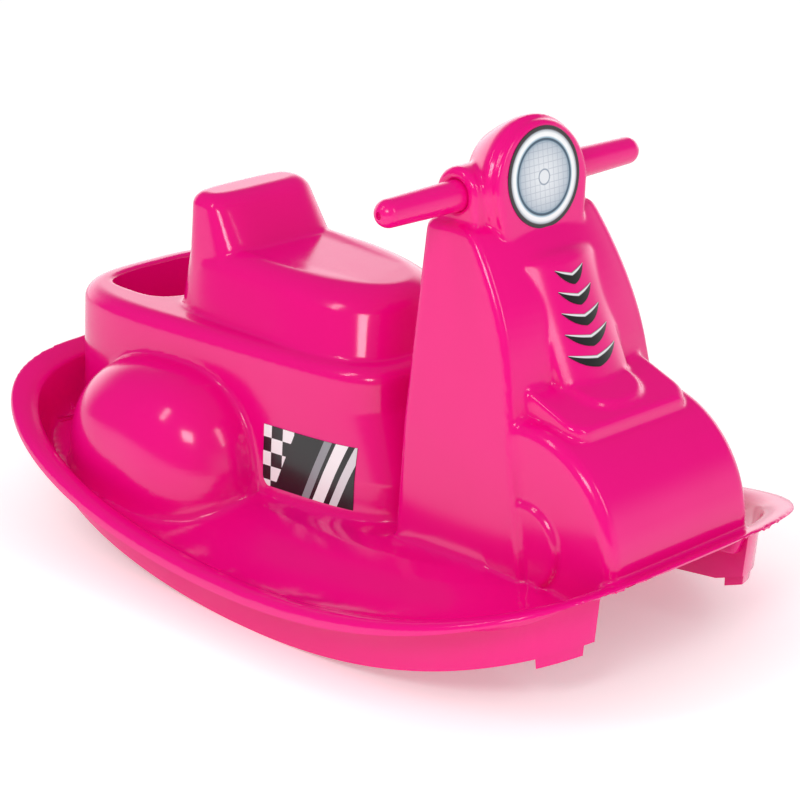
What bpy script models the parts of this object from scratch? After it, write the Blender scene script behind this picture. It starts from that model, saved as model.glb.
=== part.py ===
# Rocking motorcycle for a small child: one hollow moulded shell on two rocker runners,
# a pair of plug-in handles, and printed labels. Metres, +Z up, front towards -Y.
# The origin lies on the ground below the middle of the tray's length and width.

import math

import bmesh
import bpy
from mathutils import Matrix, Vector

# Driving dimensions of the moulding
WALL = 0.003
FIT_GAP = 0.0003

# How far solids that get trimmed later reach below the ground
GROUND_SINK = 0.02
MERGE_STEP = 0.00002
FLAT_ANGLE = math.radians(1.3)

# Rocker and tray
ROCK_RADIUS = 0.921
ROCK_LOW_Y = -0.028
RUNNER_DEPTH = 0.046
TRAY_LENGTH = 0.784
TRAY_WIDTH = 0.485
TRAY_SQUARENESS = 3.8
RIM_RISE = 0.013
RIM_END_FADE = 0.85
RIM_CREST_INSET = 0.010
FLOOR_Z = 0.0805
FLOOR_RADIUS = 2.0
FLOOR_SIDE_FALL = 0.027
FLOOR_FALL_START = 0.028
FLOOR_FALL_END = 0.140
FLOOR_INSETS = (0.032, 0.060, 0.095, 0.135)

# Runners under the tray: a skirt along each side that ends in two closed boxes
RUNNER_END_INSET = 0.020
RUNNER_SIDE_INSET = 0.036
RUNNER_SQUARENESS = 3.8
RUNNER_END_LEAN = 0.12
RUNNER_LEAN_Z = 0.095
RUNNER_INNER_X = 0.099
RUNNER_FLAT = 0.024
RUNNER_BOX_LENGTH = 0.080
RUNNER_BOX_LIFT = 0.010
GUSSET_COUNT = 5
GUSSET_DEPTH = 0.026
GUSSET_LIFT = 0.006
STOP_HEIGHT = 0.010
STOP_LENGTH = 0.030
STOP_INSET = 0.002
STOP_INNER_INSET = 0.008

# Lower body with the rear bin in its top
BODY_FRONT_Y = -0.084
BODY_REAR_Y = 0.374
BODY_FRONT_HALF = 0.101
BODY_REAR_HALF = 0.143
BODY_TOP_Z = 0.2260
BODY_EDGE_ROUND = 0.015
BODY_NOSE_Z = 0.185
BODY_NOSE_DROP = 0.065
BODY_NOSE_SPLAY = 0.30
BODY_FRONT_POWER = 6.0
BODY_REAR_POWER = 3.4
BODY_DRAFT = 0.045
BIN_FRONT_Y = 0.231
BIN_REAR_Y = 0.340
BIN_HALF = 0.079
BIN_FLOOR_Z = 0.1475
BIN_EDGE_ROUND = 0.003
BIN_FLOOR_ROUND = 0.008
BIN_POWER = 3.4
BIN_DRAFT = 0.05

# Side bulges that stand for the rear wheel covers
BULGE_SINK = 0.001
BULGE_CENTRE_Y = 0.176
BULGE_REACH = 0.098
BULGE_HALF_LENGTH = 0.1175
BULGE_BASE_Z = 0.060
BULGE_TOP_Z = 0.1875
BULGE_ARCH_POWER = 2.9
BULGE_FACE_POWER = 4.0
BULGE_PLAN_POWER = 3.6
BULGE_SEAM_X = 0.070

# Seat block and backrest
SEAT_FRONT_Y = -0.041
SEAT_REAR_Y = 0.225
SEAT_HALF = 0.071
SEAT_TOP_Z = 0.2915
SEAT_EDGE_ROUND = 0.019
SEAT_DRAFT = 0.25
SEAT_FALL = 0.035
SEAT_TOP_FRONT_POWER = 2.1
SEAT_FOOT_FRONT_POWER = 4.6
SEAT_REAR_POWER = 4.5
BACKREST_TOP_Z = 0.3395
BACKREST_FOOT_Y = 0.138
BACKREST_HEAD_Y = 0.168
BACKREST_TOP_HALF = 0.063
BACKREST_EDGE_ROUND = 0.012
BACKREST_REAR_Y = 0.215
BACKREST_REAR_DRAFT = 0.06
BACKREST_FLARE = 0.14
BACKREST_POWER = 3.6

# Column, front apron and its raised panel
COLUMN_FOOT_HALF = 0.104
COLUMN_KNEE_HALF = 0.095
COLUMN_KNEE_Z = 0.200
COLUMN_NECK_HALF = 0.0765
COLUMN_NECK_Z = 0.3875
COLUMN_FRONT_SPREAD = 0.0025
COLUMN_REAR_FOOT_Y = -0.109
COLUMN_REAR_NECK_Y = -0.131
APRON_SHIN_Y = -0.277
APRON_SHIN_Z = 0.1075
APRON_KNEE_Y = -0.2495
APRON_KNEE_Z = 0.2655
APRON_NECK_Y = -0.1894
APRON_BELLY = 0.009
APRON_EDGE_ROUND = 0.009
APRON_CORNER_ROUND = 0.008
COLUMN_CORNER_ROUND = 0.009
PANEL_HALF = 0.043
PANEL_TOP_Z = 0.360
PANEL_TOP_Y = -0.2274
PANEL_FOOT_Z = 0.235
PANEL_SLOPE = 0.470
PANEL_BOW = 0.010
PANEL_ROOT_Y = -0.190
PANEL_EDGE_ROUND = 0.010

# Head with the headlamp face
HEAD_HALF = 0.061
HEAD_FRONT_Y = -0.202
HEAD_REAR_Y = -0.133
HEAD_ARCH_Z = 0.413
HEAD_FOOT_Z = 0.362
HEAD_FOOT_HALF = 0.053
HEAD_TOP_Z = 0.4725
HEAD_LEAN = 0.10
# Cuts through the head from its face to its back: place, and how far the outline draws in
HEAD_SECTIONS = [(-0.202, 0.0085), (-0.2008, 0.0050), (-0.1985, 0.0035), (-0.1930, 0.0030),
                 (-0.1918, 0.0004), (-0.1890, 0.0), (-0.1780, 0.0030), (-0.1650, 0.0095),
                 (-0.1500, 0.0185), (-0.1400, 0.0280), (-0.1330, 0.0400)]

# Handle sockets in the head
HANDLE_Y = -0.163
HANDLE_Z = 0.4105
COLLAR_RADIUS = 0.0250
COLLAR_FACE_X = 0.071
COLLAR_EDGE_ROUND = 0.006
COLLAR_FOOT_Z = 0.3725
COLLAR_ROOT_X = 0.020
SOCKET_MOUTH_RADIUS = 0.0152
SOCKET_MOUTH_DEPTH = 0.004
SOCKET_BORE_RADIUS = 0.0123
SLEEVE_INNER_X = 0.026

# Front mudguard
FENDER_CENTRE_Y = -0.270
FENDER_CENTRE_Z = 0.1225
FENDER_REACH = 0.1035
FENDER_HEIGHT = 0.109
FENDER_HALF = 0.0925
FENDER_EDGE_ROUND = 0.012
FENDER_ROOT_Y = -0.200
DECK_FRONT_HALF = 0.072
DECK_ROOT_HALF = 0.066
DECK_FRONT_Y = -0.316
DECK_ROOT_Y = -0.240
DECK_FRONT_Z = 0.2325
DECK_DEPTH = 0.040
DECK_SLOPE = 0.38
DECK_EDGE_ROUND = 0.005
DECK_CORNER_ROUND = 0.018
HUMP_Y = -0.270
HUMP_DEPTH = 0.026
HUMP_HALF = 0.047
HUMP_RISE = 0.004
HUB_Y = -0.273
HUB_RADIUS = 0.040
HUB_PROUD = 0.0045

# Handles
HANDLE_TIP_X = 0.1632
HANDLE_ROOT_RADIUS = 0.0143
HANDLE_TIP_RADIUS = 0.0126
HANDLE_WALL = 0.0025
TIP_DIMPLE_RADIUS = 0.0032
TIP_DIMPLE_DEPTH = 0.003
GATE_RADIUS = 0.003
GATE_DEPTH = 0.0012
GATE_HEAD_Y = -0.186
GATE_BACKREST_Y = 0.195
SPIGOT_INNER_X = 0.032

# Handle screws, driven upwards from inside the column
SCREW_X = 0.042
SCREW_SHANK_RADIUS = 0.0015
SCREW_HEAD_RADIUS = 0.0035
SCREW_HEAD_HEIGHT = 0.0022
SCREW_CLEARANCE = 0.0004

# Printed labels
LABEL_THICKNESS = 0.0004
HEADLAMP_LABEL_RADIUS = 0.0450
HEADLAMP_LABEL_Z = 0.4215
VENT_COUNT = 5
VENT_TOP_Z = 0.3465
VENT_PITCH = 0.0170
VENT_TOP_HALF = 0.0175
VENT_GROWTH = 0.0031
VENT_BODY = 0.0085
VENT_TIP_HEIGHT = 0.0008
VENT_DIP = 0.0045
SIDE_LABEL_FRONT_Y = -0.057
SIDE_LABEL_REAR_Y = 0.052
SIDE_LABEL_LOW_Z = 0.092
SIDE_LABEL_HIGH_Z = 0.152

PINK = (0.82, 0.005, 0.20)
LABEL_BLACK = (0.02, 0.02, 0.022)
LENS_GREY = (0.72, 0.75, 0.80)
STEEL = (0.55, 0.55, 0.57)


def new_collection(name):
    collection = bpy.data.collections.new(name)
    bpy.context.scene.collection.children.link(collection)
    return collection


def make_material(name, colour, roughness, metallic=0.0):
    material = bpy.data.materials.new(name)
    material.use_nodes = True
    shader = material.node_tree.nodes["Principled BSDF"]
    shader.inputs["Base Color"].default_value = (*colour, 1.0)
    shader.inputs["Roughness"].default_value = roughness
    shader.inputs["Metallic"].default_value = metallic
    return material


def add_object(name, mesh, collection):
    thing = bpy.data.objects.new(name, mesh)
    collection.objects.link(thing)
    return thing


def spread(start, end, count):
    return [start + (end - start) * i / (count - 1) for i in range(count)]


def arc_height(y, lift):
    """Height of the runners' rolling curve, raised by LIFT.

    The lowest flat of the rolling curve lies on the ground, so the curve dips just below it.
    """
    flat_drop = ROCK_RADIUS - math.sqrt(ROCK_RADIUS ** 2 - (RUNNER_FLAT / 2) ** 2)
    return lift + ROCK_RADIUS - math.sqrt(ROCK_RADIUS ** 2 - (y - ROCK_LOW_Y) ** 2) - flat_drop


def rounded_oval(front_y, rear_y, front_half, rear_half, front_power, rear_power, count):
    """A closed outline, square-shouldered as its powers grow, starting at the front."""
    middle = (front_y + rear_y) / 2
    reach = (rear_y - front_y) / 2
    points = []
    for i in range(count):
        angle = -math.pi / 2 + 2 * math.pi * i / count
        along, across = math.sin(angle), math.cos(angle)
        power = front_power if along < 0 else rear_power
        y = math.copysign(abs(along) ** (2 / power), along)
        x = math.copysign(abs(across) ** (2 / power), across) if abs(across) > 1e-9 else 0.0
        half = front_half + (rear_half - front_half) * (y + 1) / 2
        points.append((x * half, middle + y * reach))
    return points


def loft(name, rings, collection, curved_ends=False):
    """A closed solid through rings of equal count, all turning the same way."""
    mesh = bpy.data.meshes.new(name)
    work = bmesh.new()
    rows = [[work.verts.new(point) for point in ring] for ring in rings]
    count = len(rows[0])
    for lower, upper in zip(rows, rows[1:]):
        for i in range(count):
            j = (i + 1) % count
            work.faces.new((lower[i], lower[j], upper[j], upper[i]))
    for row in (rows[0], rows[-1]):
        if curved_ends:
            close_with_strips(work, row)
        else:
            work.faces.new(row)
    bmesh.ops.triangulate(work, faces=[face for face in work.faces if len(face.verts) == 4])
    bmesh.ops.recalc_face_normals(work, faces=work.faces)
    work.to_mesh(mesh)
    work.free()
    return add_object(name, mesh, collection)


def close_with_strips(work, row):
    """Close a long curved ring, the same left and right, with strips from side to side."""
    count = len(row)
    for i in range(count // 2):
        corners = [row[i], row[i + 1], row[-(i + 1) % count], row[-i % count]]
        work.faces.new(list(dict.fromkeys(corners)))


def flat_ring(outline, z):
    return [(x, y, z) for x, y in outline]


def combine(target, tool, operation):
    """Boolean of two mesh objects, applied at once; the tool is removed."""
    modifier = target.modifiers.new(operation.lower(), "BOOLEAN")
    modifier.operation = operation
    modifier.solver = "EXACT"
    modifier.object = tool
    graph = bpy.context.evaluated_depsgraph_get()
    result = bpy.data.meshes.new_from_object(target.evaluated_get(graph))
    target.modifiers.remove(modifier)
    target.data = result
    bpy.data.objects.remove(tool)
    return target


def copy_of(thing, name, collection):
    return add_object(name, thing.data.copy(), collection)


def merge_all(things):
    first = things[0]
    for other in things[1:]:
        combine(first, other, "UNION")
    return first


def cylinder_x(name, radius, x_from, x_to, y, z, sides, collection):
    mesh = bpy.data.meshes.new(name)
    work = bmesh.new()
    turn = Matrix.Translation(((x_from + x_to) / 2, y, z)) @ Matrix.Rotation(math.pi / 2, 4, "Y")
    bmesh.ops.create_cone(work, cap_ends=True, segments=sides, radius1=radius, radius2=radius,
                          depth=abs(x_to - x_from), matrix=turn)
    work.to_mesh(mesh)
    work.free()
    return add_object(name, mesh, collection)


def box(name, low, high, collection):
    mesh = bpy.data.meshes.new(name)
    work = bmesh.new()
    size = [b - a for a, b in zip(low, high)]
    middle = [(a + b) / 2 for a, b in zip(low, high)]
    place = Matrix.Translation(middle) @ Matrix.Diagonal((*size, 1))
    bmesh.ops.create_cube(work, size=1, matrix=place)
    work.to_mesh(mesh)
    work.free()
    return add_object(name, mesh, collection)


# The tray


def tray_outline(inset, count):
    half_length = TRAY_LENGTH / 2 - inset
    half_width = TRAY_WIDTH / 2 - inset
    return rounded_oval(-half_length, half_length, half_width, half_width,
                        TRAY_SQUARENESS, TRAY_SQUARENESS, count)


def rim_line():
    """Inset from the tray's edge against rise above the rim's lower edge, going inwards."""
    crest, rise = RIM_CREST_INSET, RIM_RISE
    return [(0.0, 0.0), (crest * 0.06, rise * 0.42), (crest * 0.35, rise * 0.81), (crest, rise),
            (crest * 1.7, rise * 0.91), (crest * 2.35, rise * 0.46)]


def floor_height(x, y):
    """Top of the tray's floor: an arc from end to end that falls away towards the sides."""
    arc = FLOOR_Z + FLOOR_RADIUS - math.sqrt(FLOOR_RADIUS ** 2 - y ** 2)
    share = (TRAY_WIDTH / 2 - abs(x) - FLOOR_FALL_START) / (FLOOR_FALL_END - FLOOR_FALL_START)
    share = min(max(share, 0.0), 1.0)
    return arc - FLOOR_SIDE_FALL * (1 + math.cos(math.pi * share)) / 2


def tray_rings(count):
    """Lines round the tray from the rim's lower edge up over its crest and in to the floor."""
    rings = []
    for inset, rise in rim_line():
        ring = []
        for x, y in tray_outline(inset, count):
            fade = 1 - RIM_END_FADE * abs(2 * y / TRAY_LENGTH) ** 4
            ring.append((x, y, arc_height(y, RUNNER_DEPTH + rise * fade)))
        rings.append(ring)
    for inset in FLOOR_INSETS:
        rings.append([(x, y, floor_height(x, y)) for x, y in tray_outline(inset, count)])
    return rings


def offset_rings(rings, depth):
    """The rings moved DEPTH square to the surface through them, towards its under side."""
    moved = []
    last = len(rings) - 1
    count = len(rings[0])
    for i, ring in enumerate(rings):
        row = []
        for j, point in enumerate(ring):
            along = Vector(ring[(j + 1) % count]) - Vector(ring[j - 1])
            inwards = Vector(rings[min(i + 1, last)][j]) - Vector(rings[max(i - 1, 0)][j])
            normal = along.cross(inwards).normalized()
            row.append(tuple(Vector(point) - normal * depth))
        moved.append(row)
    return moved


TRAY_POINTS = 68
TRAY_UNDERSIDE_POINTS = 46
TRAY_UNDERSIDE_PICK = (0, 2, 3, 5, 6, 7, 8, 9)


def make_tray_block(depth, count, picks, collection):
    """The tray, filled solid down past its rim, with its skin moved in by DEPTH."""
    rings = tray_rings(count)
    rings = offset_rings([rings[i] for i in picks or range(len(rings))], depth)
    foot = [(x, y, -GROUND_SINK - depth) for x, y, _ in rings[0]]
    return loft("tray", [foot] + rings, collection, curved_ends=True)


# The runners


def below_arc(lift, collection):
    """Everything under one rocker curve, as a bar with an arched top made of flats."""
    half, low = TRAY_WIDTH, -TRAY_WIDTH
    count = round(TRAY_LENGTH / RUNNER_FLAT / 2) + 2
    places = [ROCK_LOW_Y + RUNNER_FLAT * (i + 0.5) for i in range(-count, count)]
    profile = [(y, arc_height(y, lift)) for y in places]
    profile += [(places[-1], low), (places[0], low)]
    rings = [[(x, y, z) for y, z in profile] for x in (-half, half)]
    return loft("below_arc", rings, collection)


def runner_outer_x(y, inset):
    """Half width of the runners' oval outline at a place along."""
    half_length = TRAY_LENGTH / 2 - RUNNER_END_INSET - inset
    half_width = TRAY_WIDTH / 2 - RUNNER_SIDE_INSET - inset
    power = RUNNER_SQUARENESS
    return half_width * (1 - abs(y / half_length) ** power) ** (1 / power)


def runner_block(name, side, inset, inner_x, collection):
    """One runner's plan drawn upright, its ends leaning inwards to the foot: oval outside,
    straight along its inner side."""
    half_length = TRAY_LENGTH / 2 - RUNNER_END_INSET - inset
    half_width = TRAY_WIDTH / 2 - RUNNER_SIDE_INSET - inset
    outline = rounded_oval(-half_length, half_length, half_width, half_width,
                           RUNNER_SQUARENESS, RUNNER_SQUARENESS, 64)
    power = RUNNER_SQUARENESS
    end_y = half_length * (1 - (inner_x / half_width) ** power) ** (1 / power)
    bend = [(x, y) for x, y in outline if x > inner_x + MERGE_STEP]
    plan = [(inner_x, -end_y)] + bend + [(inner_x, end_y)]
    rings = []
    for z in (-GROUND_SINK - WALL, TRAY_WIDTH / 2):
        lean = 1 + RUNNER_END_LEAN * (z - RUNNER_LEAN_Z) / half_length
        rings.append([(side * x, y * lean, z) for x, y in plan])
    return loft(name, rings, collection)


def runner_end_y():
    """How far from the middle the runners' end walls stand."""
    half_width = TRAY_WIDTH / 2 - RUNNER_SIDE_INSET
    share = 1 - (RUNNER_INNER_X / half_width) ** RUNNER_SQUARENESS
    return (TRAY_LENGTH / 2 - RUNNER_END_INSET) * share ** (1 / RUNNER_SQUARENESS)


def make_runner(side, under_tray, collection):
    """A skirt on its rolling curve, with a box at each end and gussets between them."""
    name = "runner_right" if side > 0 else "runner_left"
    runner = runner_block(name, side, 0.0, RUNNER_INNER_X, collection)
    combine(runner, below_arc(0.0, collection), "DIFFERENCE")
    combine(runner, copy_of(under_tray, "runner_trim", collection), "INTERSECT")
    pocket = runner_block("runner_pocket", side, WALL, RUNNER_INNER_X + WALL, collection)
    box_y = runner_end_y() - RUNNER_BOX_LENGTH
    high = TRAY_WIDTH
    for end in (-1, 1):
        wall = box("box_wall", (-high, end * box_y - WALL / 2, -high),
                   (high, end * box_y + WALL / 2, high), collection)
        combine(pocket, wall, "DIFFERENCE")
    for y in spread(-box_y, box_y, GUSSET_COUNT + 2)[1:-1]:
        outer_x = runner_outer_x(y, 0.0)
        x_pair = sorted((side * outer_x, side * (outer_x - GUSSET_DEPTH)))
        gusset = box("gusset", (x_pair[0], y - WALL / 2, arc_height(y, 0.0) + GUSSET_LIFT),
                     (x_pair[1], y + WALL / 2, high), collection)
        combine(pocket, gusset, "DIFFERENCE")
    combine(runner, pocket, "DIFFERENCE")
    combine(runner, open_inner_side(side, box_y, collection), "DIFFERENCE")
    for end in (-1, 1):
        combine(runner, box_foot_cut(side, end, box_y, collection), "DIFFERENCE")
    return runner


def open_inner_side(side, box_y, collection):
    """The part of the inner wall between the two end boxes, which the moulding leaves out."""
    x_pair = sorted((side * (RUNNER_INNER_X - WALL), side * (RUNNER_INNER_X + WALL * 1.5)))
    return box("open_side", (x_pair[0], WALL / 2 - box_y, -TRAY_WIDTH),
               (x_pair[1], box_y - WALL / 2, TRAY_WIDTH), collection)


def box_foot_cut(side, end, box_y, collection):
    """Wedge that lifts an end box's lower edge towards the middle of the runner."""
    far_y = end * (runner_end_y() - STOP_LENGTH)
    near_y = end * (box_y - WALL)
    x_pair = (RUNNER_INNER_X - WALL, TRAY_WIDTH)
    rings = []
    for y, lift in ((far_y, -0.001), (near_y, RUNNER_BOX_LIFT)):
        top = arc_height(y, 0.0) + lift
        corners = [(x_pair[0], -GROUND_SINK), (x_pair[1], -GROUND_SINK), (x_pair[1], top),
                   (x_pair[0], top)]
        rings.append([(side * x, y, z) for x, z in corners])
    wedge = loft("box_foot", rings, collection)
    inside = runner_block("inside_skirt", side, WALL * 1.1, RUNNER_INNER_X - WALL, collection)
    return combine(wedge, inside, "INTERSECT")


# Bodies that rise from the tray: each is drawn once, as its outside and, moved in by the
# wall thickness, as its hollow.


def rounded_top(z_top, radius, steps):
    """Inset against height for a rounded upper edge, from the side to the top."""
    pairs = []
    for i in range(steps + 1):
        angle = math.pi / 2 * i / steps
        pairs.append((radius * (1 - math.cos(angle)), z_top - radius * (1 - math.sin(angle))))
    return pairs


def body_front(z):
    """Front of the lower body: upright above, splayed forward towards the floor."""
    return BODY_FRONT_Y - BODY_NOSE_SPLAY * min(max(BODY_NOSE_Z - z, 0.0), BODY_NOSE_DROP)


def body_outline(inset, z, count):
    return rounded_oval(body_front(z) + inset, BODY_REAR_Y - inset, BODY_FRONT_HALF - inset,
                        BODY_REAR_HALF - inset, BODY_FRONT_POWER, BODY_REAR_POWER, count)


def make_body(wall, steps, count, collection):
    draft = BODY_DRAFT
    top = BODY_TOP_Z - wall
    levels = [(0.0, -GROUND_SINK - wall), (0.0, BODY_NOSE_Z - BODY_NOSE_DROP), (0.0, BODY_NOSE_Z)]
    levels += rounded_top(top, BODY_EDGE_ROUND - wall / 2, steps)
    rings = []
    for inset, z in levels:
        rings.append(flat_ring(body_outline(wall + draft * z + inset, z, count), z))
    return loft("body", rings, collection)


def make_seat(wall, steps, count, collection):
    top = SEAT_TOP_Z - wall
    foot = BODY_TOP_Z - BODY_EDGE_ROUND - wall * 2
    rings = []
    levels = [(0.0, foot)] + rounded_top(top, SEAT_EDGE_ROUND - wall / 2, steps)
    for inset, z in levels:
        drop = SEAT_TOP_Z - z
        inset += wall - SEAT_DRAFT * drop
        share = min(drop / (SEAT_TOP_Z - BODY_TOP_Z), 1.0)
        power = SEAT_TOP_FRONT_POWER + (SEAT_FOOT_FRONT_POWER - SEAT_TOP_FRONT_POWER) * share
        outline = rounded_oval(SEAT_FRONT_Y + inset, SEAT_REAR_Y - inset * 0.2, SEAT_HALF - inset,
                               SEAT_HALF - inset, power, SEAT_REAR_POWER, count)
        rings.append([(x, y, z - SEAT_FALL * max(BACKREST_FOOT_Y - y, 0.0)) for x, y in outline])
    return loft("seat", rings, collection)


def make_backrest(wall, steps, count, collection):
    top = BACKREST_TOP_Z - wall
    foot = SEAT_TOP_Z - SEAT_EDGE_ROUND * 3 - wall * 2
    lean = (BACKREST_HEAD_Y - BACKREST_FOOT_Y) / (BACKREST_TOP_Z - SEAT_TOP_Z)
    rings = []
    levels = [(0.0, foot)] + rounded_top(top, BACKREST_EDGE_ROUND - wall / 2, steps)
    for inset, z in levels:
        inset += wall
        drop = BACKREST_TOP_Z - z
        front = BACKREST_HEAD_Y - lean * drop + inset
        half = BACKREST_TOP_HALF + BACKREST_FLARE * drop - inset
        rear = BACKREST_REAR_Y + BACKREST_REAR_DRAFT * drop - inset
        outline = rounded_oval(front, rear, half, half, BACKREST_POWER, BACKREST_POWER, count)
        rings.append(flat_ring(outline, z))
    return loft("backrest", rings, collection)


def make_bulge(side, wall, steps, count, collection):
    """One rear wheel cover: half a rounded box, its flat side inside the body."""
    rings = []
    arch, face, plan = BULGE_ARCH_POWER, BULGE_FACE_POWER, BULGE_PLAN_POWER
    height = BULGE_TOP_Z - BULGE_BASE_Z - wall
    levels = [(-GROUND_SINK - wall * 2, 1.0, 1.0)]
    for i in range(steps + 1):
        angle = math.pi / 2 * i / steps * 0.98
        rise = math.sin(angle) ** (2 / arch) if i else 0.0
        levels.append((BULGE_BASE_Z + rise * height, math.cos(angle) ** (2 / arch),
                       (1 - rise ** face) ** (1 / face)))
    for z, shrink, narrow in levels:
        reach = (BULGE_REACH - wall) * narrow
        half_length = (BULGE_HALF_LENGTH - wall) * shrink
        ring = []
        for angle in spread(-math.pi / 2, math.pi / 2, count):
            across = max(math.cos(angle), 0.0) ** (2 / plan)
            along = math.copysign(abs(math.sin(angle)) ** (2 / plan), angle)
            ring.append((side * (BODY_FRONT_HALF - BULGE_SINK + across * reach),
                         BULGE_CENTRE_Y + along * half_length, z))
        ring.append((side * BULGE_SEAM_X, BULGE_CENTRE_Y + half_length, z))
        ring.append((side * BULGE_SEAM_X, BULGE_CENTRE_Y - half_length, z))
        rings.append(ring if side > 0 else ring[::-1])
    return loft("bulge", rings, collection)


def column_half(z):
    if z < COLUMN_KNEE_Z:
        share = z / COLUMN_KNEE_Z
        return COLUMN_FOOT_HALF + (COLUMN_KNEE_HALF - COLUMN_FOOT_HALF) * share
    share = (z - COLUMN_KNEE_Z) / (COLUMN_NECK_Z - COLUMN_KNEE_Z)
    return COLUMN_KNEE_HALF + (COLUMN_NECK_HALF - COLUMN_KNEE_HALF) * share


def column_rear(z):
    share = max(z, 0.0) / COLUMN_NECK_Z
    return COLUMN_REAR_FOOT_Y + (COLUMN_REAR_NECK_Y - COLUMN_REAR_FOOT_Y) * share


def apron_front(z):
    """Front edge of the column: nearly upright shin, then a bellied slope to the neck."""
    if z < APRON_KNEE_Z:
        share = (z - APRON_SHIN_Z) / (APRON_KNEE_Z - APRON_SHIN_Z)
        return APRON_SHIN_Y + (APRON_KNEE_Y - APRON_SHIN_Y) * share
    share = (z - APRON_KNEE_Z) / (COLUMN_NECK_Z - APRON_KNEE_Z)
    line = APRON_KNEE_Y + (APRON_NECK_Y - APRON_KNEE_Y) * share
    return line - APRON_BELLY * 4 * share * (1 - share)


def rounded_quad(front, rear, front_half, rear_half, front_round, rear_round, steps):
    """A four-sided outline, the same left and right, with rounded corners."""
    corners = [(rear_half, rear, rear_round), (-rear_half, rear, rear_round),
               (-front_half, front, front_round), (front_half, front, front_round)]
    return rounded_polygon(corners, steps)


def rounded_polygon(corners, steps):
    """Outline through (x, y, radius) corners, each replaced by an arc of STEPS pieces."""
    points = []
    total = len(corners)
    for i, (x, y, radius) in enumerate(corners):
        here = Vector((x, y))
        before = (Vector(corners[i - 1][:2]) - here).normalized()
        after = (Vector(corners[(i + 1) % total][:2]) - here).normalized()
        half_angle = before.angle(after) / 2
        centre = here + (before + after).normalized() * radius / math.sin(half_angle)
        start = here + before * radius / math.tan(half_angle) - centre
        end = here + after * radius / math.tan(half_angle) - centre
        sweep = start.angle_signed(end)
        for share in spread(0.0, 1.0, steps + 1):
            turned = start.copy()
            turned.rotate(Matrix.Rotation(-sweep * share, 2))
            points.append(tuple(centre + turned))
    return points


def make_column(wall, steps, corner_steps, collection):
    top = COLUMN_NECK_Z - wall
    levels = [(0.0, -GROUND_SINK - wall * 3), (0.0, COLUMN_KNEE_Z), (0.0, APRON_KNEE_Z)]
    levels += [(0.0, APRON_KNEE_Z + (COLUMN_NECK_Z - APRON_KNEE_Z) * share)
               for share in spread(0.0, 0.9, 5)[1:]]
    levels += rounded_top(top, APRON_EDGE_ROUND - wall / 2, steps)[1:]
    rings = []
    for inset, z in levels:
        inset += wall
        half = column_half(z) - inset
        outline = rounded_quad(apron_front(z) + inset, column_rear(z) - inset,
                               half + COLUMN_FRONT_SPREAD, half,
                               APRON_CORNER_ROUND - wall, COLUMN_CORNER_ROUND - wall, corner_steps)
        rings.append(flat_ring(outline, z))
    return loft("column", rings, collection)


def panel_front(x, z):
    """Face of the raised panel at a place across and up: it leans back and bows out."""
    return (PANEL_TOP_Y - PANEL_SLOPE * (PANEL_TOP_Z - z)
            + PANEL_BOW * (x / PANEL_HALF) ** 2)


def make_panel(wall, steps, count, collection):
    rings = []
    levels = [(0.0, PANEL_FOOT_Z - wall)]
    levels += rounded_top(PANEL_TOP_Z - wall, PANEL_EDGE_ROUND - wall / 2, steps)
    for inset, z in levels:
        inset += wall
        half = PANEL_HALF - inset
        ring = [(x, panel_front(x, z) + inset, z) for x in spread(-half, half, count)]
        ring += [(half, PANEL_ROOT_Y, z), (-half, PANEL_ROOT_Y, z)]
        rings.append(ring)
    return loft("panel", rings, collection)


def head_outline(inset, count):
    """Seen from the front: an arch that narrows a little towards its foot."""
    radius = HEAD_HALF - inset
    points = [(radius * math.cos(angle), HEAD_ARCH_Z + radius * math.sin(angle))
              for angle in spread(0.0, math.pi, count)]
    foot_half = HEAD_FOOT_HALF - inset
    points += [(-foot_half, HEAD_FOOT_Z + inset), (foot_half, HEAD_FOOT_Z + inset)]
    return points


def head_lean(z):
    return HEAD_LEAN * (z - HEAD_ARCH_Z)


def make_head(wall, count, collection):
    rings = []
    for y, inset in HEAD_SECTIONS:
        y = max(HEAD_FRONT_Y + wall, min(HEAD_REAR_Y - wall, y))
        rings.append([(x, y + head_lean(z), z) for x, z in head_outline(inset + wall, count)])
    return loft("head", rings, collection)


def make_collar(side, wall, steps, count, collection):
    """Boss that holds one handle, with the upright pad below it."""
    rings = []
    face = COLLAR_FACE_X - wall
    levels = [(0.0, COLLAR_ROOT_X)]
    for inset, x in rounded_top(face, COLLAR_EDGE_ROUND - wall / 2, steps):
        levels.append((inset, x))
    for inset, x in levels:
        radius = COLLAR_RADIUS - inset - wall
        ring = [(side * x, HANDLE_Y + radius * math.cos(angle), HANDLE_Z + radius * math.sin(angle))
                for angle in spread(0.0, math.pi, count)]
        foot = COLLAR_FOOT_Z - wall
        ring += [(side * x, HANDLE_Y - radius, foot), (side * x, HANDLE_Y + radius, foot)]
        rings.append(ring)
    return loft("collar", rings, collection)


def fender_outline(inset, count, lowest):
    """Side view of the mudguard: a quarter oval in front, square behind."""
    reach = FENDER_REACH - inset
    height = FENDER_HEIGHT - inset
    points = [(FENDER_CENTRE_Y - reach * math.cos(angle),
               FENDER_CENTRE_Z + height * math.sin(angle))
              for angle in spread(0.0, math.pi / 2, count)]
    points += [(FENDER_ROOT_Y, FENDER_CENTRE_Z + height), (FENDER_ROOT_Y, lowest),
               (FENDER_CENTRE_Y - reach, lowest)]
    return points


def make_fender(wall, steps, count, collection):
    edge = rounded_top(FENDER_HALF - wall, FENDER_EDGE_ROUND - wall / 2, steps)
    levels = [(inset, -x) for inset, x in reversed(edge)] + edge
    rings = []
    for inset, x in levels:
        outline = fender_outline(inset + wall, count, -GROUND_SINK - wall * 4)
        rings.append([(x, y, z) for y, z in outline])
    return loft("fender", rings, collection)


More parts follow.
